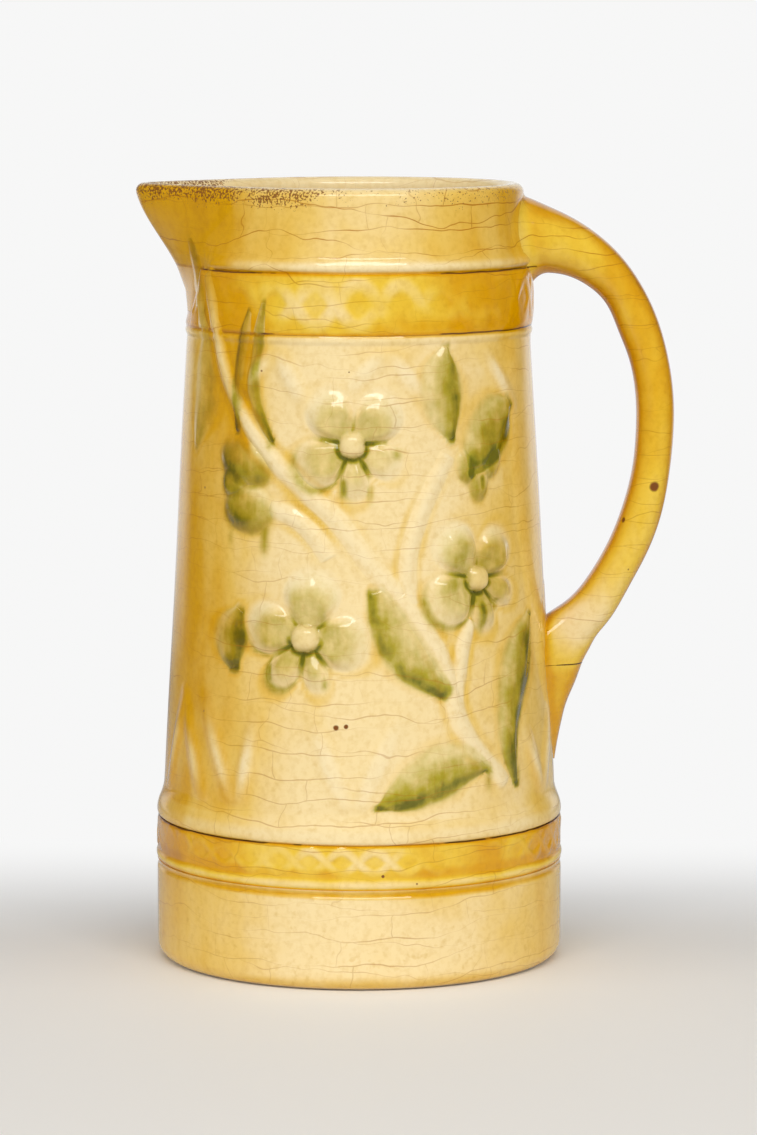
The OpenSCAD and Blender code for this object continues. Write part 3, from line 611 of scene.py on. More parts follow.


# every look gives relief in mm, green, paleness with painted highlight, and the change of pool beside the sprig, which
# beside flowers is partly painted shadow
# flower: petals meet in creases that hold the green, round a domed boss
def flowerLook(spec, angle, z):
    q = chart(angle, z) - chart(*spec["at"])
    across, up = q[..., 0], q[..., 1]
    out = np.hypot(across, up)
    bossR, bossH = spec["boss"]
    edge, part, left, aside = petalEdge(spec, np.degrees(np.arctan2(up, across)) % 360)
    far = out / edge
    gap = left * rad * out
    crease = 1 - ease(0.1, 1.5 + 0.18 * out, gap)
    rise = (0.34 + 0.66 * ease(bossR, 0.66 * edge, out)) * (1 - 0.88 * crease) * (1 - 0.16 * aside ** 2)
    petals = part * rise * (1 - ease(0.62, 1.05, far))
    square = (np.abs(across) ** 2.5 + np.abs(up) ** 2.5) ** 0.4 / bossR
    boss = np.clip(1 - square ** 3, 0, 1) ** 0.55
    height = np.maximum(spec["lift"] * petals, bossH * boss)
    # green in the creases, under the lower left rim and in a moat about the boss, over a wash on the petals
    groove = 1.3 * bell(gap, 0, 1.05) * ease(1.28, 0.90, far)
    groove = groove * (0.55 * ease(1.0, 0.45, far) + 0.52 * ease(7.0, -1.0, up))
    rim = 0.66 * bell(far, 1.0, 0.11) * ease(3.0, -7.0, up) * ease(5.0, -6.0, across)
    moat = 1.25 * hump(out, bossR + 0.5, 2.5) * (0.12 + 0.88 * ease(3.0, -2.5, up))
    groove = np.maximum(np.maximum(groove, rim), moat) * ease(0.88, 1.12, square)
    wash = spec["wash"] * (0.40 + 0.60 * ease(0.95, 0.55, far)) * ease(1.14, 0.86, far)
    wash = wash * (0.75 + 0.25 * part) * (1 - 0.8 * crease * ease(0.45, 0.85, far))
    green = np.maximum(groove, wash * (1 - 0.55 * boss))
    # painted highlight on the petals' rims, strongest on the upper ones
    highlightRims = hump(far, 0.88, 0.26) * (0.45 + 0.55 * ease(-2, 8, up)) * (1 - crease)
    # gold just beside the petals, stronger below them: pooled glaze and painted shadow
    beside = 0.26 * hump(far, 1.12, 0.20) * (0.35 + 0.65 * ease(6.0, -8.0, up))
    return height, np.clip(green, 0, 1.35), np.maximum(0.10 * boss, 0.85 * highlightRims), beside


# bud: soft lobes, washed green and darker towards their lower edges, darker on their left as painted shade, with
# painted highlight on their upper right rims
def budLook(spec, angle, z):
    q = chart(angle, z) - chart(*spec["at"])
    lobes, wash, highlightRims = (np.zeros(q.shape[:-1]) for _ in range(3))
    for lobe in spec["lobes"]:
        dx, dz, half, length, _ = lobe
        rise, far = pillow(q[..., 0], q[..., 1], lobe)
        lobes = np.maximum(lobes, rise)
        lowSide = ease(length * 0.7, -length * 0.8, q[..., 1] - dz)
        shadedLeft = ease(half * 0.6, -half * 0.7, q[..., 0] - dx)
        body = (1 - ease(0.55, 1.22, far)) * (0.40 + 0.42 * lowSide + 0.32 * shadedLeft)
        wash = np.maximum(wash, body + 0.36 * hump(far, 1.0, 0.36) * (0.3 + 0.7 * lowSide))
        highlightRims = np.maximum(highlightRims, 0.9 * hump(far, 0.78, 0.36) * (1 - lowSide) * (1 - 0.6 * shadedLeft))
    wash = np.clip(wash, 0, 1.1) * spec["wash"]
    return spec["lift"] * lobes, wash, highlightRims, 0.3 * wash * (1 - lobes)


# half width of a leaf at a share of its length
def leafHalf(spec, share):
    width = np.array(spec["width"], float)
    return through(width, np.clip(share, 0, 1) * (len(width) - 1)) / 2 + sprig["edgeGrow"]


# leaf: low soft pod with a shallow groove along its vein, washed green, and dark along its edges
def leafShape(spec, share, side, over):
    half = leafHalf(spec, share)
    part = np.hypot(side / half, over / 0.9)
    bank = side / half * spec["dark"]
    ends = ease(0, 0.12, share) * ease(1, 0.88, share)
    height = spec["lift"] * (1 - ease(0.12, 1.14, part)) * (1 - spec["vein"] * bell(side / half, 0, 0.24))
    height = height * (0.55 + 0.45 * ends) * (1 + 0.10 * bank)
    part = np.hypot(side / half, over / 2.6)    # colour reaches farther past the ends than relief does
    body = (1 - ease(0.35, 1.35, part)) * (0.47 + 0.26 * ease(-0.7, 0.7, bank))
    edge = 0.48 * bell(bank, 0.82, 0.34) * ease(1.8, 1.0, part) + 0.20 * bell(bank, -0.98, 0.26)
    gather = 0.40 * ease(0.36, 0.0, share) * (1 - ease(0.4, 1.4, part))
    green = spec["green"] * (body + spec["edge"] * (edge * ease(1.7, 1.0, part) + gather))
    # pale along the edge away from the dark side: thinned glaze and painted highlight
    paleAndSheen = 0.55 * bell(bank, -0.68, 0.28) * ease(1.2, 0.8, part)
    return height, np.clip(green, 0, 1.1), paleAndSheen, 0.16 * hump(part, 1.25, 0.4)


# stem: low rounded cord, pale on top where glaze thins and as painted highlight, with glaze pooled along both its sides
def stemShape(spec, share, side, over):
    part = np.hypot(side / spec["half"], over / 1.5)
    fade = ease(1.0, 1 - spec["fade"], share)
    middle = hump(share, 0.5, 0.62)
    height = spec["lift"] * (1 - ease(0.10, 1.28, part)) * (0.55 + 0.45 * middle) * (0.25 + 0.75 * fade)
    beside = 0.34 * hump(part, 1.35, 0.6) * middle - 0.42 * (1 - ease(0.2, 1.1, part)) * fade
    return height, np.zeros(np.shape(share)), 0.55 * (1 - ease(0.1, 1.0, part)) * fade, beside


# look of a sprig with a middle line, from its shape over length and width
def alongLine(shape):
    return lambda spec, angle, z: shape(spec, *besideLine(chart(angle, z), spec["line"]))


looks = [(flowers, flowerLook), (buds, budLook), (leaves, alongLine(leafShape)), (stems, alongLine(stemShape))]


# where a sprig can reach, as the least and greatest of angle and height
def sprigReach(spec):
    line = np.array(spec.get("line", [spec.get("at")]), float)
    far = sprig["reachLong"] if "line" in spec else sprig["reachRound"]
    return line.min(0) - far, line.max(0) + far


# green, pool and pale of the glaze at places on the jug
def glazeFields(angle, z):
    angle, z = np.broadcast_arrays(np.asarray(angle, float), np.asarray(z, float))
    green, paleAndSheen, beside = (np.zeros(angle.shape) for _ in range(3))
    for group, look in looks:
        for spec in group.values():
            low, high = sprigReach(spec)
            near = (angle > low[0]) & (angle < high[0]) & (z > low[1]) & (z < high[1])
            if near.any():
                _, g, p, b = look(spec, angle[near], z[near])
                green[near] = np.maximum(green[near], g)
                paleAndSheen[near] = np.maximum(paleAndSheen[near], p)
                beside[near] += b
    pool = 0.84 * ease(7, 64, -angle) + 0.54 * ease(16, 68, angle) + beside    # deeper to both sides: glaze pooled by spout and handle, and painted shade where the wall turns from the front
    pool = pool + 0.26 * ease(-38, -58, angle) * ease(206, 222, z)             # about the spout
    pool = pool + 0.24 * hump(angle, -44, 16) * ease(150, 176, z) * ease(222, 208, z)
    pool = pool - 0.36 * ease(-52, -66, angle) * ease(150, 178, z) * ease(212, 200, z)
    pool = pool + 0.22 * hump(z, 196.5, 7) * (0.5 + 0.5 * np.sin(angle * rad * 9))    # at the panel's ends
    pool = pool + 0.20 * hump(z, 58.5, 9) * ease(-20, -55, angle)
    pool = pool + 0.34 * ease(219, 228, z) * ease(0.9, 0.2, pool)              # over the collar, partly painted shade against the key light that is stronger there
    pool = pool + 0.7 * (hump(z, 220.9, 0.9) + hump(z, 201.7, 0.9) + hump(z, 45.6, 0.7))    # at the bands' edges
    ribs = panelRelief(angle, z)[1]
    pool = pool - 0.22 * ribs + 0.9 * ribs * (1 - ribs)
    for top, start, fall, half, g, p in runs:
        side = (angle - top) * rad * chartR
        down = (start - z) / fall
        streak = bell(side / half, 0, 1.35) * ease(-0.25, 0.1, down) * ease(1.0, 0.35, down)
        green = np.maximum(green, g * streak)
        pool = np.maximum(pool, p * streak + pool * (1 - streak))
    # paler over the ridges and trellis ribs: glaze thinned there, and painted highlight
    ridgeHighlight = 0.7 * hump(z, 223.1, 1.8) + 0.45 * hump(z, 48.6, 2.6)
    paleAndSheen = np.maximum(np.maximum(paleAndSheen, 0.7 * ribs), ridgeHighlight)
    return dict(green=green, pool=pool, paleAndSheen=np.clip(paleAndSheen, 0, 1))


# rows of the wall's closed profile: radius, height, rise of the ridge over it, whether it is outside,
# and the first and last row of the notch
def wallRows():
    j = jug
    foot = np.linspace(-90, 0, 9) * rad
    footIn, edge = j["footR"] - j["footEdge"], j["footEdge"]
    low = [(r, 0.0) for r in np.linspace(j["ringIn"], footIn, 5)[:-1]]
    low += list(zip(footIn + edge * np.cos(foot), edge + edge * np.sin(foot)))
    low += [(j["footR"], z) for z in np.linspace(7.0, 28.6, 9)]
    dip = np.linspace(28.9, 31.7, 13)
    low += list(zip(j["footR"] - j["groove"][2] * hump(dip, *j["groove"][:2]), dip))
    low += [(j["lowBedR"], z) for z in (31.9, 38.5, 45.1)]
    low += [tuple(p) for p in through(j["shoulder"], np.linspace(0, len(j["shoulder"]) - 1, 18))]
    panel = np.linspace(j["panelLow"][1], j["panelTop"][1], j["panelRows"])[1:]
    low += list(zip(plainRadius(panel - 1e-6), panel))
    bead = np.linspace(198.8, 202.0, 11)
    low += list(zip(j["panelTop"][0] + j["underBead"][2] * hump(bead, *j["underBead"][:2]), bead))
    low += [(j["topBedR"], 202.2), (j["topBedR"], spout["foot"])]
    top = [(j["topBedR"], 213.0), (j["topBedR"], 220.3)]
    collar = np.concatenate([np.linspace(220.5, 227.0, 25), np.linspace(227.0, 243.5, 14)[1:]])
    top += list(zip(plainRadius(collar), collar))
    lip = np.linspace(15, 165, 11) * rad
    lipR = j["collarTop"] - j["lip"]
    over = list(zip(lipR + j["lip"] * np.cos(lip), j["rim"] - j["lip"] + j["lip"] * np.sin(lip)))
    back = [(float(innerRadius(z)), z) for z in [243.5, 242.8] + [z for _, z in top[-2::-1]]]
    down = np.concatenate([[spout["foot"]], np.linspace(200, 56, 22), np.linspace(55.0, 47.0, 4), [34, 20, 9, 3]])
    down = [(float(innerRadius(z)), z) for z in down] + [(r, j["hollow"]) for r in (j["ledgeR"], j["ringIn"])]
    rows = np.array(low + top + over + back + down)
    outer = np.arange(len(rows)) < len(low) + len(top)
    ridge = np.where(outer, ridgeRise(rows[:, 1]), 0)
    return rows[:, 0], rows[:, 1], ridge, outer, len(low) - 1, len(low + top + over + back)


lining = dict(pool=0.08, paleAndSheen=0.45, lipRows=7)    # thin glaze inside, paled there as painted highlight, and the rows of lip over which it takes over


# the wall: profile rows swept round the axis, between the two edges of the notch where the spout is let in
def makeWall():
    r, z, ridge, outer, start, end = wallRows()
    row = np.arange(len(r))
    notch = np.where((row >= start) & (row <= end), np.maximum(notchHalf(z), spout["lowHalf"]), 0)
    edge = np.where(notch > 0, np.arcsin(np.minimum(notch / r, 0.999)), 0) / rad
    edge = np.where(notch > 0, edge, edge[start])[:, None]

    # rows at turns from the spout's tip: over the front first, then over the mirrored back
    def surface(rows, turn):
        angle = np.where(turn < 0, -turn - 90, np.where(turn <= 180, turn - 90, 270 - turn))
        side = np.where((turn >= 0) & (turn <= 180), 1, -1)
        rowR, rowZ = r[rows, None], z[rows, None]
        arc = rowR * np.abs(np.sin(np.clip(np.abs(angle + 90), 0, 90) * rad)) - notch[rows, None]
        onPanel = outer[rows, None] & (rowZ > 52) & (rowZ < 201)
        relief = np.where(onPanel, panelRelief(angle, rowZ)[0], 0)
        return onJug(angle, rowR + ridge[rows, None] * ease(0.0, 5.0, arc) + relief, rowZ, side)

    main = surface(row, edge + np.linspace(0, 1, jug["columns"] + 1) * (360 - 2 * edge))
    below = np.concatenate([row[:start + 1], row[end:]])
    patch = surface(below, edge[below] * np.linspace(-1, 1, jug["underSpout"]))
    rowCount, colCount = main.shape[:2]
    faces = [gridFaces(rowCount, colCount, wrapRows=True),
             gridFaces(*patch.shape[:2], wrapRows=True, first=rowCount * colCount)]
    faces += endFaces(start, end, (end - start) // 2, colCount)
    points = np.concatenate([main.reshape(-1, 3), patch.reshape(-1, 3)])
    rowOf = np.concatenate([np.repeat(row, colCount), np.repeat(below, patch.shape[1])])
    x, y, high = points.T
    fields = glazeFields(jugAngle(points), high)
    inside, low = ~outer[rowOf], high < 53
    out = ~inside & (high > 2)
    overLip = ease(0, lining["lipRows"], rowOf - outer.sum())
    fields["green"] = np.where(out & ~low, fields["green"], 0)
    fields["paleAndSheen"] = np.where(out, fields["paleAndSheen"], np.where(inside, lining["paleAndSheen"] * overLip, 0))
    # gold that lies in the groove over the foot, runs down from it at the sides, and lines the jug's inside
    foot = 0.85 * hump(high, 30.3, 2.0) + 0.55 * ease(6.5, 1.0, high)
    foot = foot + 0.20 * ease(15, 29, high) * (0.5 + 0.5 * np.sin(np.arctan2(y, x) * 5 + 1))
    pool = np.where(low, np.maximum(foot, fields["pool"] * 0.86), fields["pool"])
    lined = lining["pool"] + (fields["pool"] - lining["pool"]) * (1 - overLip)
    fields["pool"] = np.where(inside, lined, pool)
    return makePiece("jug_wall", points, np.concatenate(faces), fields, "cream_glaze", ["body_wall"])


# the spout: the same profile rows as the wall's notch, each bent to the plan of the beak at its height
def makeSpout():
    r, z, _, outer, start, end = wallRows()
    rows = np.arange(start, end + 1)
    plain = plainRadius(np.minimum(z[rows], jug["collarZ"][1]))
    circle = np.where(outer[rows], plain, r[rows])
    half = np.arcsin(np.minimum(np.maximum(notchHalf(z[rows]), spout["lowHalf"]) / circle, 0.999))
    angle = half[:, None] * np.linspace(-1, 1, spout["columns"] + 1)
    reach = throatReach(z[rows]) - (plain - circle)
    radius = beakRadius(circle[:, None], reach[:, None], angle)
    points = np.stack([-radius * np.cos(angle), radius * np.sin(angle), z[rows, None] + 0 * radius], -1)
    rowCount, colCount = points.shape[:2]
    faces = [gridFaces(rowCount, colCount, wrapRows=True)] + endFaces(0, rowCount - 1, rowCount // 2, colCount)
    points = points.reshape(-1, 3)
    high = points[:, 2]
    fields = glazeFields(jugAngle(points), high)
    out = np.repeat(outer[rows], colCount)
    overLip = ease(0, lining["lipRows"], np.repeat(rows, colCount) - outer.sum())
    pool = np.maximum(fields["pool"], 0.34 * ease(243, 213, high)) + 0.45 * ease(224, 209, high)
    fields["green"] = np.where(out, fields["green"], 0)
    fields["pool"] = np.where(out, pool, lining["pool"] + (pool - lining["pool"]) * (1 - overLip))
    fields["paleAndSheen"] = np.where(out, fields["paleAndSheen"] * ease(219, 213, high), lining["paleAndSheen"] * overLip)
    makePiece("pouring_spout_beak", points, np.concatenate(faces), fields, "cream_glaze", ["pouring_spout"])


# band: two straps that swing as sine waves and pass over and under each other, cut short by the notch
def makeBand(name, node, spec, cutBySpout):
    turn = roundTurn(spec["columns"]) * rad
    top = np.full(turn.shape, spec["high"])
    if cutBySpout:
        slope = (jug["rim"] - spout["foot"]) / (spoutTopHalf - spout["lowHalf"])
        fromTip = np.abs((roundTurn(spec["columns"]) + 180) % 360 - 180)
        reachUp = spout["foot"] + slope * (spec["r"] * np.sin(np.minimum(fromTip, 90) * rad) - spout["lowHalf"])
        top = np.minimum(top, np.maximum(reachUp, spout["foot"]) - 0.02)
    z = spec["low"] + np.linspace(0, 1, spec["rows"])[:, None] * (top - spec["low"])
    beadZ, beadHalf, beadLift = spec.get("bead", (spec["low"], 1.0, 0.0))
    bead = hump(z, beadZ, beadHalf)
    latticeLow = beadZ + beadHalf if beadLift else spec["low"]
    middle, tall = (latticeLow + spec["high"]) / 2, spec["high"] - latticeLow
    # straps: swing up and down, thickness allowed for their slant, one under the other at every second crossing
    phase = turn * spec["crossings"] / 2
    swing = spec["swing"] * tall * np.sin(phase)
    slant = np.sqrt(1 + (spec["swing"] * tall * np.cos(phase) * spec["crossings"] / 2 / spec["r"]) ** 2)
    crossing = bell(swing, 0, spec["strapHalf"])
    straps = [(1 - ease(0.30, 1.25, np.abs(z - middle - way * swing) / slant / spec["strapHalf"]))
              * (1 - crossing * np.clip(way * np.cos(phase) * 0.5, 0, 1) * 0.7) for way in (1, -1)]
    worn = 0.48 + 0.40 * np.sin(turn * 7 + 0.35 * z + 1) + 0.34 * np.sin(turn * 4.0 + 2.2)
    strap = np.maximum(*straps) * np.clip(worn, 0.15, 1)
    border = ease(0, 0.9, z - spec["low"]) * ease(0, 0.9, top - z)
    radius = spec["r"] + spec["lift"] * strap * border - 0.20 * (1 - border) + beadLift * bead
    if cutBySpout:
        cut = ease(5.0, 0.5, top - z) * ease(spec["high"] - 0.5, spec["high"] - 3, top)
        radius = radius + (plainRadius(z) + 0.02 - radius) * cut
    # glaze pools between the straps and at the lattice's foot, deepens towards both sides, partly as painted shade, and
    # thins on the bead; straps are paler away from the sides, partly as painted highlight
    wave = 0.5 + 0.5 * np.sin(turn * 3 + 0.8) * np.sin(turn * 7)
    sideGoldAndShade = ease(16, 62, np.abs(np.degrees(np.arcsin(np.cos(turn)))))
    foot = hump(z, latticeLow + 0.12 * tall, 0.25 * tall)
    pool = 0.44 + 0.12 * wave + (0.63 + 0.09 * np.cos(turn)) * sideGoldAndShade + 0.24 * foot + 0.8 * (1 - border)
    pool = pool - (0.22 + 0.08 * wave) * strap * (1 - 0.5 * sideGoldAndShade)
    pool = pool * (1 - 0.62 * bead * (beadLift > 0))
    paleAndSheen = 0.10 * strap * (1 - sideGoldAndShade)
    # three plain rows close the back
    backZ = np.stack([top, (top + spec["low"]) / 2, np.full(turn.shape, spec["low"])])
    radius, z = np.concatenate([radius, np.full(backZ.shape, spec["r"] - 1.3)]), np.concatenate([z, backZ])
    points = ringPoints(-radius, turn, z)
    green = glazeFields(jugAngle(points), z)["green"] if cutBySpout else 0.0
    fields = dict(green=green, pool=np.pad(pool, ((0, 3), (0, 0))), paleAndSheen=np.pad(paleAndSheen, ((0, 3), (0, 0))))
    quads = gridFaces(*points.shape[:2], wrapRows=True, wrapCols=True)
    makePiece(name, points, quads, fields, "gold_glaze", [node])


# sprig on a polar grid about its place: the skin's radius plus the relief on top, and a sunk underside
def makeRound(node, spec, look, reach, side, slotName):
    turn = roundTurn(sprig["turns"])
    share = np.concatenate([np.linspace(0, 1, sprig["rings"]) ** 0.9, [1.0, 0.5, 0.0]])
    top = np.arange(len(share)) < sprig["rings"]
    ray = np.stack([np.cos(turn * rad), np.sin(turn * rad)], -1)
    place = share[:, None, None] * reach(turn)[None, :, None] * ray + chart(*spec["at"])
    angle, z = place[..., 0] / (rad * chartR), place[..., 1]
    height, *_ = look(spec, angle, z)
    height = np.where(top[:, None], height - sprig["sink"] - 0.3 * ease(0.93, 1, share)[:, None], -0.9)
    points = onJug(angle, skinRadius(angle, z) + height, z, side)
    makePiece(f"{node}_sprig", points, None, glazeFields(angle, z), slotName, [node], sprig["crease"])


# sprig carried along a curved middle line, wider than its outline so that its edge sinks into the wall
def makeStrip(node, spec, shape, half, side, slotName):
    line = chart(*np.array(spec["line"], float).T)
    share = np.linspace(-sprig["overhang"], 1 + sprig["overhang"], sprig["steps"])
    onLine = np.clip(share, 0, 1)
    heading = np.gradient(through(line, np.linspace(0, len(line) - 1, 400)), axis=0)
    heading = heading[np.round(onLine * 399).astype(int)]
    heading = heading / np.linalg.norm(heading, axis=1)[:, None]
    length = np.linalg.norm(np.diff(line, axis=0), axis=1).sum()
    over = np.maximum(np.maximum(-share, share - 1), 0) * length
    curve = through(line, onLine * (len(line) - 1)) + heading * (np.where(share > 1, 1, -1) * over)[:, None]
    across = np.concatenate([np.linspace(-sprig["spread"], sprig["spread"], sprig["rows"]), [0.9, 0.0, -0.9]])
    top = np.arange(len(across)) < sprig["rows"]
    off = across[:, None] * np.broadcast_to(half(spec, onLine), share.shape)
    left = np.stack([-heading[:, 1], heading[:, 0]], -1)
    place = curve + off[..., None] * left
    angle, z = place[..., 0] / (rad * chartR), place[..., 1]
    height, *_ = shape(spec, np.broadcast_to(share, off.shape), off, np.broadcast_to(over, off.shape))
    height = np.where(top[:, None], height - sprig["sink"], -0.7)
    points = onJug(angle, skinRadius(angle, z) + height, z, side)
    rows, cols = points.shape[:2]
    # a fan to the middle of each end ring closes it
    quads = [gridFaces(rows, cols, wrapRows=True)]
    ring = np.arange(rows)
    for end, column in enumerate((0, cols - 1)):
        middle = np.full(rows, rows * cols + end)
        fan = np.stack([ring * cols + column, (ring + 1) % rows * cols + column, middle, middle], -1)
        quads.append(fan[:, ::-1] if end else fan)
    flat = np.concatenate([points.reshape(-1, 3), points[:, [0, -1]].mean(0)])
    fields = {key: np.append(value, [0.0, 0.0]) for key, value in glazeFields(angle, z).items()}
    makePiece(f"{node}_sprig", flat, np.concatenate(quads), fields, slotName, [node], sprig["crease"])


# outline of a flower, and of a bud as the farthest of its lobes, each grown a little
def flowerOutline(spec):
    return lambda turn: petalEdge(spec, turn % 360)[0] * 1.07 + 0.6


def budOutline(spec):
    def reach(turn):
        ray = np.linspace(0, 34, 340)[:, None]
        x, y = ray * np.cos(turn * rad), ray * np.sin(turn * rad)
        far = np.zeros(turn.shape)
        for lobe in spec["lobes"]:
            far = np.maximum(far, np.where(pillow(x, y, lobe)[1] < 1.22, ray, 0).max(0))
        soft = np.stack([np.roll(far, s) for s in range(-3, 4)])
        return np.maximum(soft.mean(0), far * 0.98) + 0.8
    return reach


jugWall = makeWall()
print("wall made with", len(jugWall.data.polygons), "faces")
makeSpout()
makeBand("upper_band", "upper_band_strip", bandUpper, True)
makeBand("lower_band", "lower_band_strip", bandLower, False)
print("spout and bands made")

for sideName, side in (("front", 1), ("back", -1)):
    for key, spec in flowers.items():
        makeRound(f"{sideName}_{key}", spec, flowerLook, flowerOutline(spec), side, "cream_glaze")
    for key, spec in buds.items():
        makeRound(f"{sideName}_{key}", spec, budLook, budOutline(spec), side, "green_glaze")
    for key, spec in leaves.items():
        makeStrip(f"{sideName}_{key}", spec, leafShape, leafHalf, side, "green_glaze")
    for key, spec in stems.items():
        makeStrip(f"{sideName}_{key}", spec, stemShape, lambda spec, share: spec["half"], side, "cream_glaze")
print("sprigs made")

# handle between an inner and an outer rail in the plane of the jug, each pair with its half width
handle = dict(
    rails=[(49.5, 217.8, 49.4, 243.1, 13.4), (54.2, 217.8, 53.7, 241.7, 12.8), (59.6, 218, 60, 239, 11.8),
           (66, 217, 68.4, 234.9, 10.5), (72.4, 213.8, 77.9, 228.2, 9.5), (78.2, 208.1, 86.4, 218.8, 8.9),
           (82.1, 199.5, 93.4, 206.2, 8.6), (85.6, 190.3, 97.7, 192.5, 8.5), (87.6, 179.3, 99.7, 179.5, 8.5),
           (87.8, 168, 99.8, 167.4, 8.5), (86.7, 155.9, 98.6, 154.5, 8.5), (83.7, 143.9, 96.1, 141.3, 8.6),
           (79.5, 133, 91.8, 129.4, 8.8), (74.2, 123.4, 86.3, 118.8, 9.1), (68.6, 115.9, 80.7, 108.9, 9.4),
           (62.4, 110.1, 76.1, 103, 9.4), (58.1, 103, 73.5, 98.4, 9.2), (57.5, 94.1, 71.3, 94.1, 8.7),
           (57.7, 88, 69.1, 88, 7.9), (58.1, 81.5, 66.4, 81.5, 6.9), (58.4, 75.1, 64.7, 75.1, 5.9),
           (58.8, 68.6, 63.4, 68.6, 4.6), (59.2, 62.7, 62.5, 62.7, 2.8)],
    seam=17, tipStart=21, sides=72, square=2.25, deepest=2.4, seamGap=0.07, topZ=244.8)


# fillet radius of the handle against the wall: small over the upper root, wide under the arch, fading down the tail
def filletRadius(at, turn):
    upper = 3.6 - 2.5 * np.clip(np.cos(turn), 0, 1) + 2.2 * np.clip(-np.cos(turn), 0, 1)
    lower = 7.0 * ease(22.0, 15.5, at) + 1.2
    return np.where(at < 9, upper, lower)


# superellipse sections between the rails; near the wall the surface bends out along it as a quarter circle
def handleSurface(at):
    rail = through(handle["rails"], at)
    tip = np.clip(at - handle["tipStart"], 0, 0.999)
    inner, outer, wide = rail[:, 0:2], rail[:, 2:4], (rail[:, 4] * np.sqrt(1 - tip ** 2))[:, None]
    middle, half = (inner + outer) / 2, np.linalg.norm(outer - inner, axis=1)[:, None] / 2
    out = (outer - inner) / (2 * half)
    turn = roundTurn(handle["sides"], 2 * math.pi)
    cos, sin = np.cos(turn), np.sin(turn)
    c, s = (np.sign(v) * np.abs(v) ** (2 / handle["square"]) for v in (cos, sin))
    x = middle[:, :1] + out[:, :1] * half * c
    z = middle[:, 1:] + out[:, 1:] * half * c
    y = wide * s
    normal = np.stack([out[:, :1] * cos / half, sin / wide, out[:, 1:] * cos / half], -1)
    normal = normal / np.linalg.norm(normal, axis=-1, keepdims=True)
    r = np.hypot(x, y)
    away = np.stack([x / r, y / r, 0 * x], -1)
    gap = np.maximum(r - plainRadius(z), -handle["deepest"])
    f = filletRadius(at[:, None], turn)
    g = f - np.clip(gap, 0, f)
    push = f - np.sqrt(np.maximum(f * f - g * g, 0))
    slide = normal - (normal * away).sum(-1, keepdims=True) * away
    p = np.stack([x, y, z], -1) + push[..., None] * slide
    grow = (plainRadius(p[..., 2]) + gap) / np.hypot(p[..., 0], p[..., 1])
    return np.stack([p[..., 0] * grow, p[..., 1] * grow, np.minimum(p[..., 2], handle["topZ"])], -1), gap


# rows repeated at both ends
def padEnds(rows):
    return np.concatenate([rows[:1], rows, rows[-1:]])


# grip and tail: tubes that stop a hair apart at the seam, each closed by a fan to the middle of its end rings
def makeHandle():
    seam = handle["seam"]
    seamZ = handle["rails"][seam][1]
    grip = np.concatenate([np.linspace(0, 3, 64), np.linspace(3, 12, 90)[1:], np.linspace(12, seam, 90)[1:]])
    tail = np.linspace(seam, len(handle["rails"]) - 1, 76)
    faces = np.cos(roundTurn(handle["sides"], 2 * math.pi)) ** 4    # 1 on the outer and inner face, 0 at the sides
    for name, node, at, end, way in (("handle_grip", "handle", grip, -1, 1),
                                     ("handle_tail_strip", "handle_tail", tail, 0, -1)):
        points, gap = handleSurface(at)
        points[end, :, 2] += way * handle["seamGap"]
        tube = padEnds(points)
        tube[[0, -1]] = points[[0, -1]].mean(1, keepdims=True)
        x, y, z = np.moveaxis(tube, -1, 0)
        gap, running = padEnds(gap), padEnds(at)[:, None]
        # the inner and outer faces take deeper gold: glaze pooled there and painted shade where they turn from the
        # front
        pool = 0.57 + 0.18 * hump(running, 5.5, 3.5) - 0.60 * hump(running, 14.8, 2.3) * ease(1, 5, -y)
        pool = pool + 0.25 * ease(17, 17.6, running) + 0.95 * faces
        pool = pool + 0.35 * ease(3.0, 0.2, gap) * ease(12, 14, running) - 0.25 * ease(5, 0, gap) * ease(4, 1, running)
        stain = ease(0.55, 0.1, np.abs(z - seamZ)) * ease(61, 63, x)
        stain = stain + 0.45 * ease(4.5, 1.0, np.abs(z - seamZ + 3)) * ease(62, 66, x)
        makePiece(name, tube, None, dict(pool=pool, stain=stain), "gold_glaze", [node])


# middle height, half height and half width of the slip under each root
slips = dict(handle_upper_slip=(228.2, 15.2, 17.4), handle_lower_slip=(107.8, 14.0, 17.0))
slipGrid = dict(rings=16, turns=96, lift=0.26, sink=0.06, under=0.5)


# thin lens of slip on the wall under a root, feathered out at its edge
def makeSlip(node, middle, tall, wide):
    s = slipGrid
    share = np.concatenate([np.linspace(0, 1, s["rings"]), [0.97, 0.5, 0.0]])[:, None]
    top = np.arange(len(share))[:, None] < s["rings"]
    turn = roundTurn(s["turns"], 2 * math.pi)
    z = middle + share * tall * np.sin(turn)
    radius = plainRadius(z) + np.where(top, s["lift"] * ease(1.0, 0.82, share) - s["sink"], -s["under"])
    arc = share * wide * np.cos(turn) / radius
    makePiece(f"{node}_bead", ringPoints(radius, arc, z), None, {}, "luting_slip", [node], sprig["crease"])


makeHandle()
for node, sizes in slips.items():
    makeSlip(node, *sizes)
print("handle made")

floorGrid = dict(topRings=40, lowRings=24, turns=120, clear=0.15, fillet=4.2, dome=0.35, swirl=0.25)


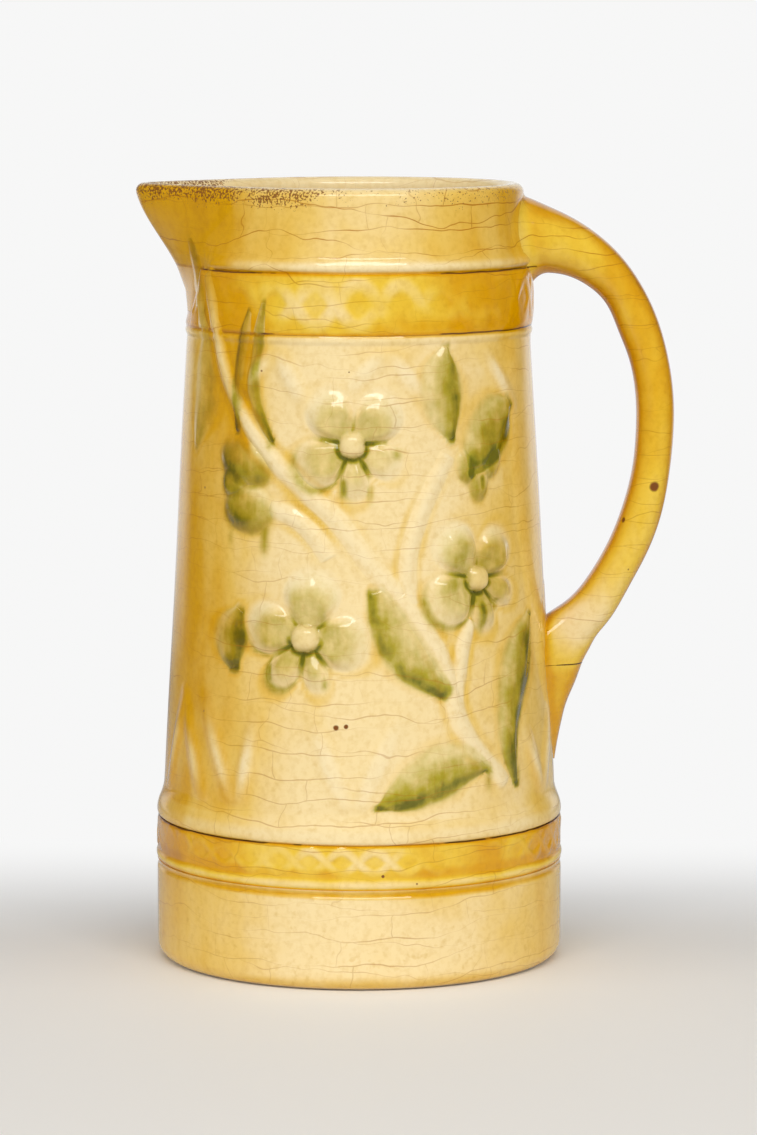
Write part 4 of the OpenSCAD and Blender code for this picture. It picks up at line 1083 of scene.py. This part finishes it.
# floor disc: flat underside with a slight dome, and a top that rises in a fillet to the wall
def makeFloor():
    f = floorGrid
    over, under = np.linspace(0, 1, f["topRings"]), np.linspace(1, 0, f["lowRings"])
    topZ = jug["floorTop"] + f["swirl"] * np.cos(over * 9) * (1 - over) + f["fillet"] * ease(0.90, 1.02, over) ** 2
    lowZ = jug["hollow"] + f["dome"] * (1 - under ** 2)
    z = np.concatenate([topZ, [7.0, 4.0], lowZ])[:, None]
    radius = np.concatenate([over, [1.0, 1.0], under])[:, None] * (jug["floorR"] - f["clear"])
    points = ringPoints(radius, roundTurn(f["turns"]) * rad, z)
    makePiece("base_floor_disc", points, None, {}, "bare_clay", ["base_floor"])


makeFloor()
print("floor made")

# stage: a pale sweep that bends up behind the jug, with the colours near it, behind it and far off
stage = dict(width=7.0, front=-2.6, back=1.5, tall=3.2, curve=0.8, near=(0.92, 0.89, 0.845), behind=(0.95, 0.95, 0.945),
             far=(0.34, 0.34, 0.335), white=(0.93, 0.93, 0.928, 1))


# the sweep is flat, then a quarter circle, then upright; it shows white to the camera behind the jug and far off
def makeStage():
    bend = np.linspace(0, 90, 24) * rad
    foot = stage["back"] - stage["curve"]
    run = np.concatenate([[stage["front"]], np.linspace(-0.8, foot, 12), foot + stage["curve"] * np.sin(bend),
                          [stage["back"]]])
    rise = np.concatenate([np.zeros(13), stage["curve"] * (1 - np.cos(bend)), [stage["tall"]]])
    across = np.linspace(-stage["width"] / 2, stage["width"] / 2, 9)
    points = np.stack(np.broadcast_arrays(across[None], run[:, None], rise[:, None]), -1)
    mesh = bpy.data.meshes.new("pale_sweep")
    mesh.from_pydata(points.reshape(-1, 3).tolist(), [], gridFaces(*points.shape[:2]).tolist())
    mesh.shade_smooth()
    material, shader, place = startMaterial("pale_sweep", {"Specular IOR Level": 0.2})
    tree = place.tree
    along, aside = place.axis(1), place.axis(0).size()
    far = place.fromAxis().step(0.32, 0.85)
    tint = (along + (place.noise(9.0, 4.0) - 0.5) * 0.05).step(-0.30, 0.35).mix(stage["near"], stage["behind"])
    far.mix(tint, stage["far"]).into(shader, "Base Color")
    (0.55 + place.noise(60.0, 3.0) * 0.2).into(shader, "Roughness")
    path = tree.nodes.new("ShaderNodeLightPath")
    byCamera, byGloss = (Wire(tree, path.outputs[key]) for key in ("Is Camera Ray", "Is Glossy Ray"))
    middle = aside.step(1.15, 0.65)
    seen = byCamera * far.most(along.step(0.0, 0.20) * middle)
    seen = seen.most(byGloss * along.step(0.5, 1.1) * middle)
    white = place.node("ShaderNodeEmission", None, {0: stage["white"], 1: 1.0})
    shown = place.node("ShaderNodeMixShader", None, {0: seen, 1: Wire(tree, shader.outputs[0]), 2: white})
    shown.into(tree.nodes["Material Output"], "Surface")
    mesh.materials.append(material)
    sweep = bpy.data.objects.new("pale_sweep", mesh)
    bpy.context.scene.collection.objects.link(sweep)


makeStage()

# soft light from above the front, which glazes mirror, and from both sides
lights = dict(
    key=dict(at=(0.05, -1.22, 1.40), to=(0, 0, 0.10), size=(1.6, 0.44), watts=16.2, mirrored=True),
    left=dict(at=(-1.35, -0.95, 0.55), to=(0, 0, 0.13), size=(1.7, 1.5), watts=11.4, mirrored=False),
    right=dict(at=(1.35, -0.95, 0.55), to=(0, 0, 0.13), size=(1.7, 1.5), watts=11.4, mirrored=False))
sky = dict(colour=(1.0, 1.0, 0.995, 1), strength=0.22, more=0.71)    # the camera sees it brighter
camera = dict(at=(0.0062, -1.5, 0.307), pitch=6.95, lens=150.5, sensor=36.0)
scene = bpy.context.scene

for name, spec in lights.items():
    lamp = bpy.data.lights.new(name, "AREA")
    lamp.shape, lamp.size, lamp.size_y, lamp.energy = "RECTANGLE", *spec["size"], spec["watts"]
    held = bpy.data.objects.new(name, lamp)
    held.visible_glossy = spec["mirrored"]
    held.location = spec["at"]
    held.rotation_euler = (Vector(spec["to"]) - Vector(spec["at"])).to_track_quat("-Z", "Y").to_euler()
    scene.collection.objects.link(held)

world = scene.world or bpy.data.worlds.new("studio")
scene.world = world
world.use_nodes = True
tree = world.node_tree
tree.nodes["Background"].inputs["Color"].default_value = sky["colour"]
byCamera = Wire(tree, tree.nodes.new("ShaderNodeLightPath").outputs["Is Camera Ray"])
(sky["strength"] + byCamera * sky["more"]).into(tree.nodes["Background"], "Strength")

eye = bpy.data.objects.new("camera", bpy.data.cameras.new("camera"))
eye.data.lens, eye.data.sensor_width = camera["lens"], camera["sensor"]
eye.location = camera["at"]
eye.rotation_euler = ((90 - camera["pitch"]) * rad, 0, 0)
scene.collection.objects.link(eye)
scene.camera = eye
scene.view_settings.view_transform = "Standard"
print("stage, lights and camera made")
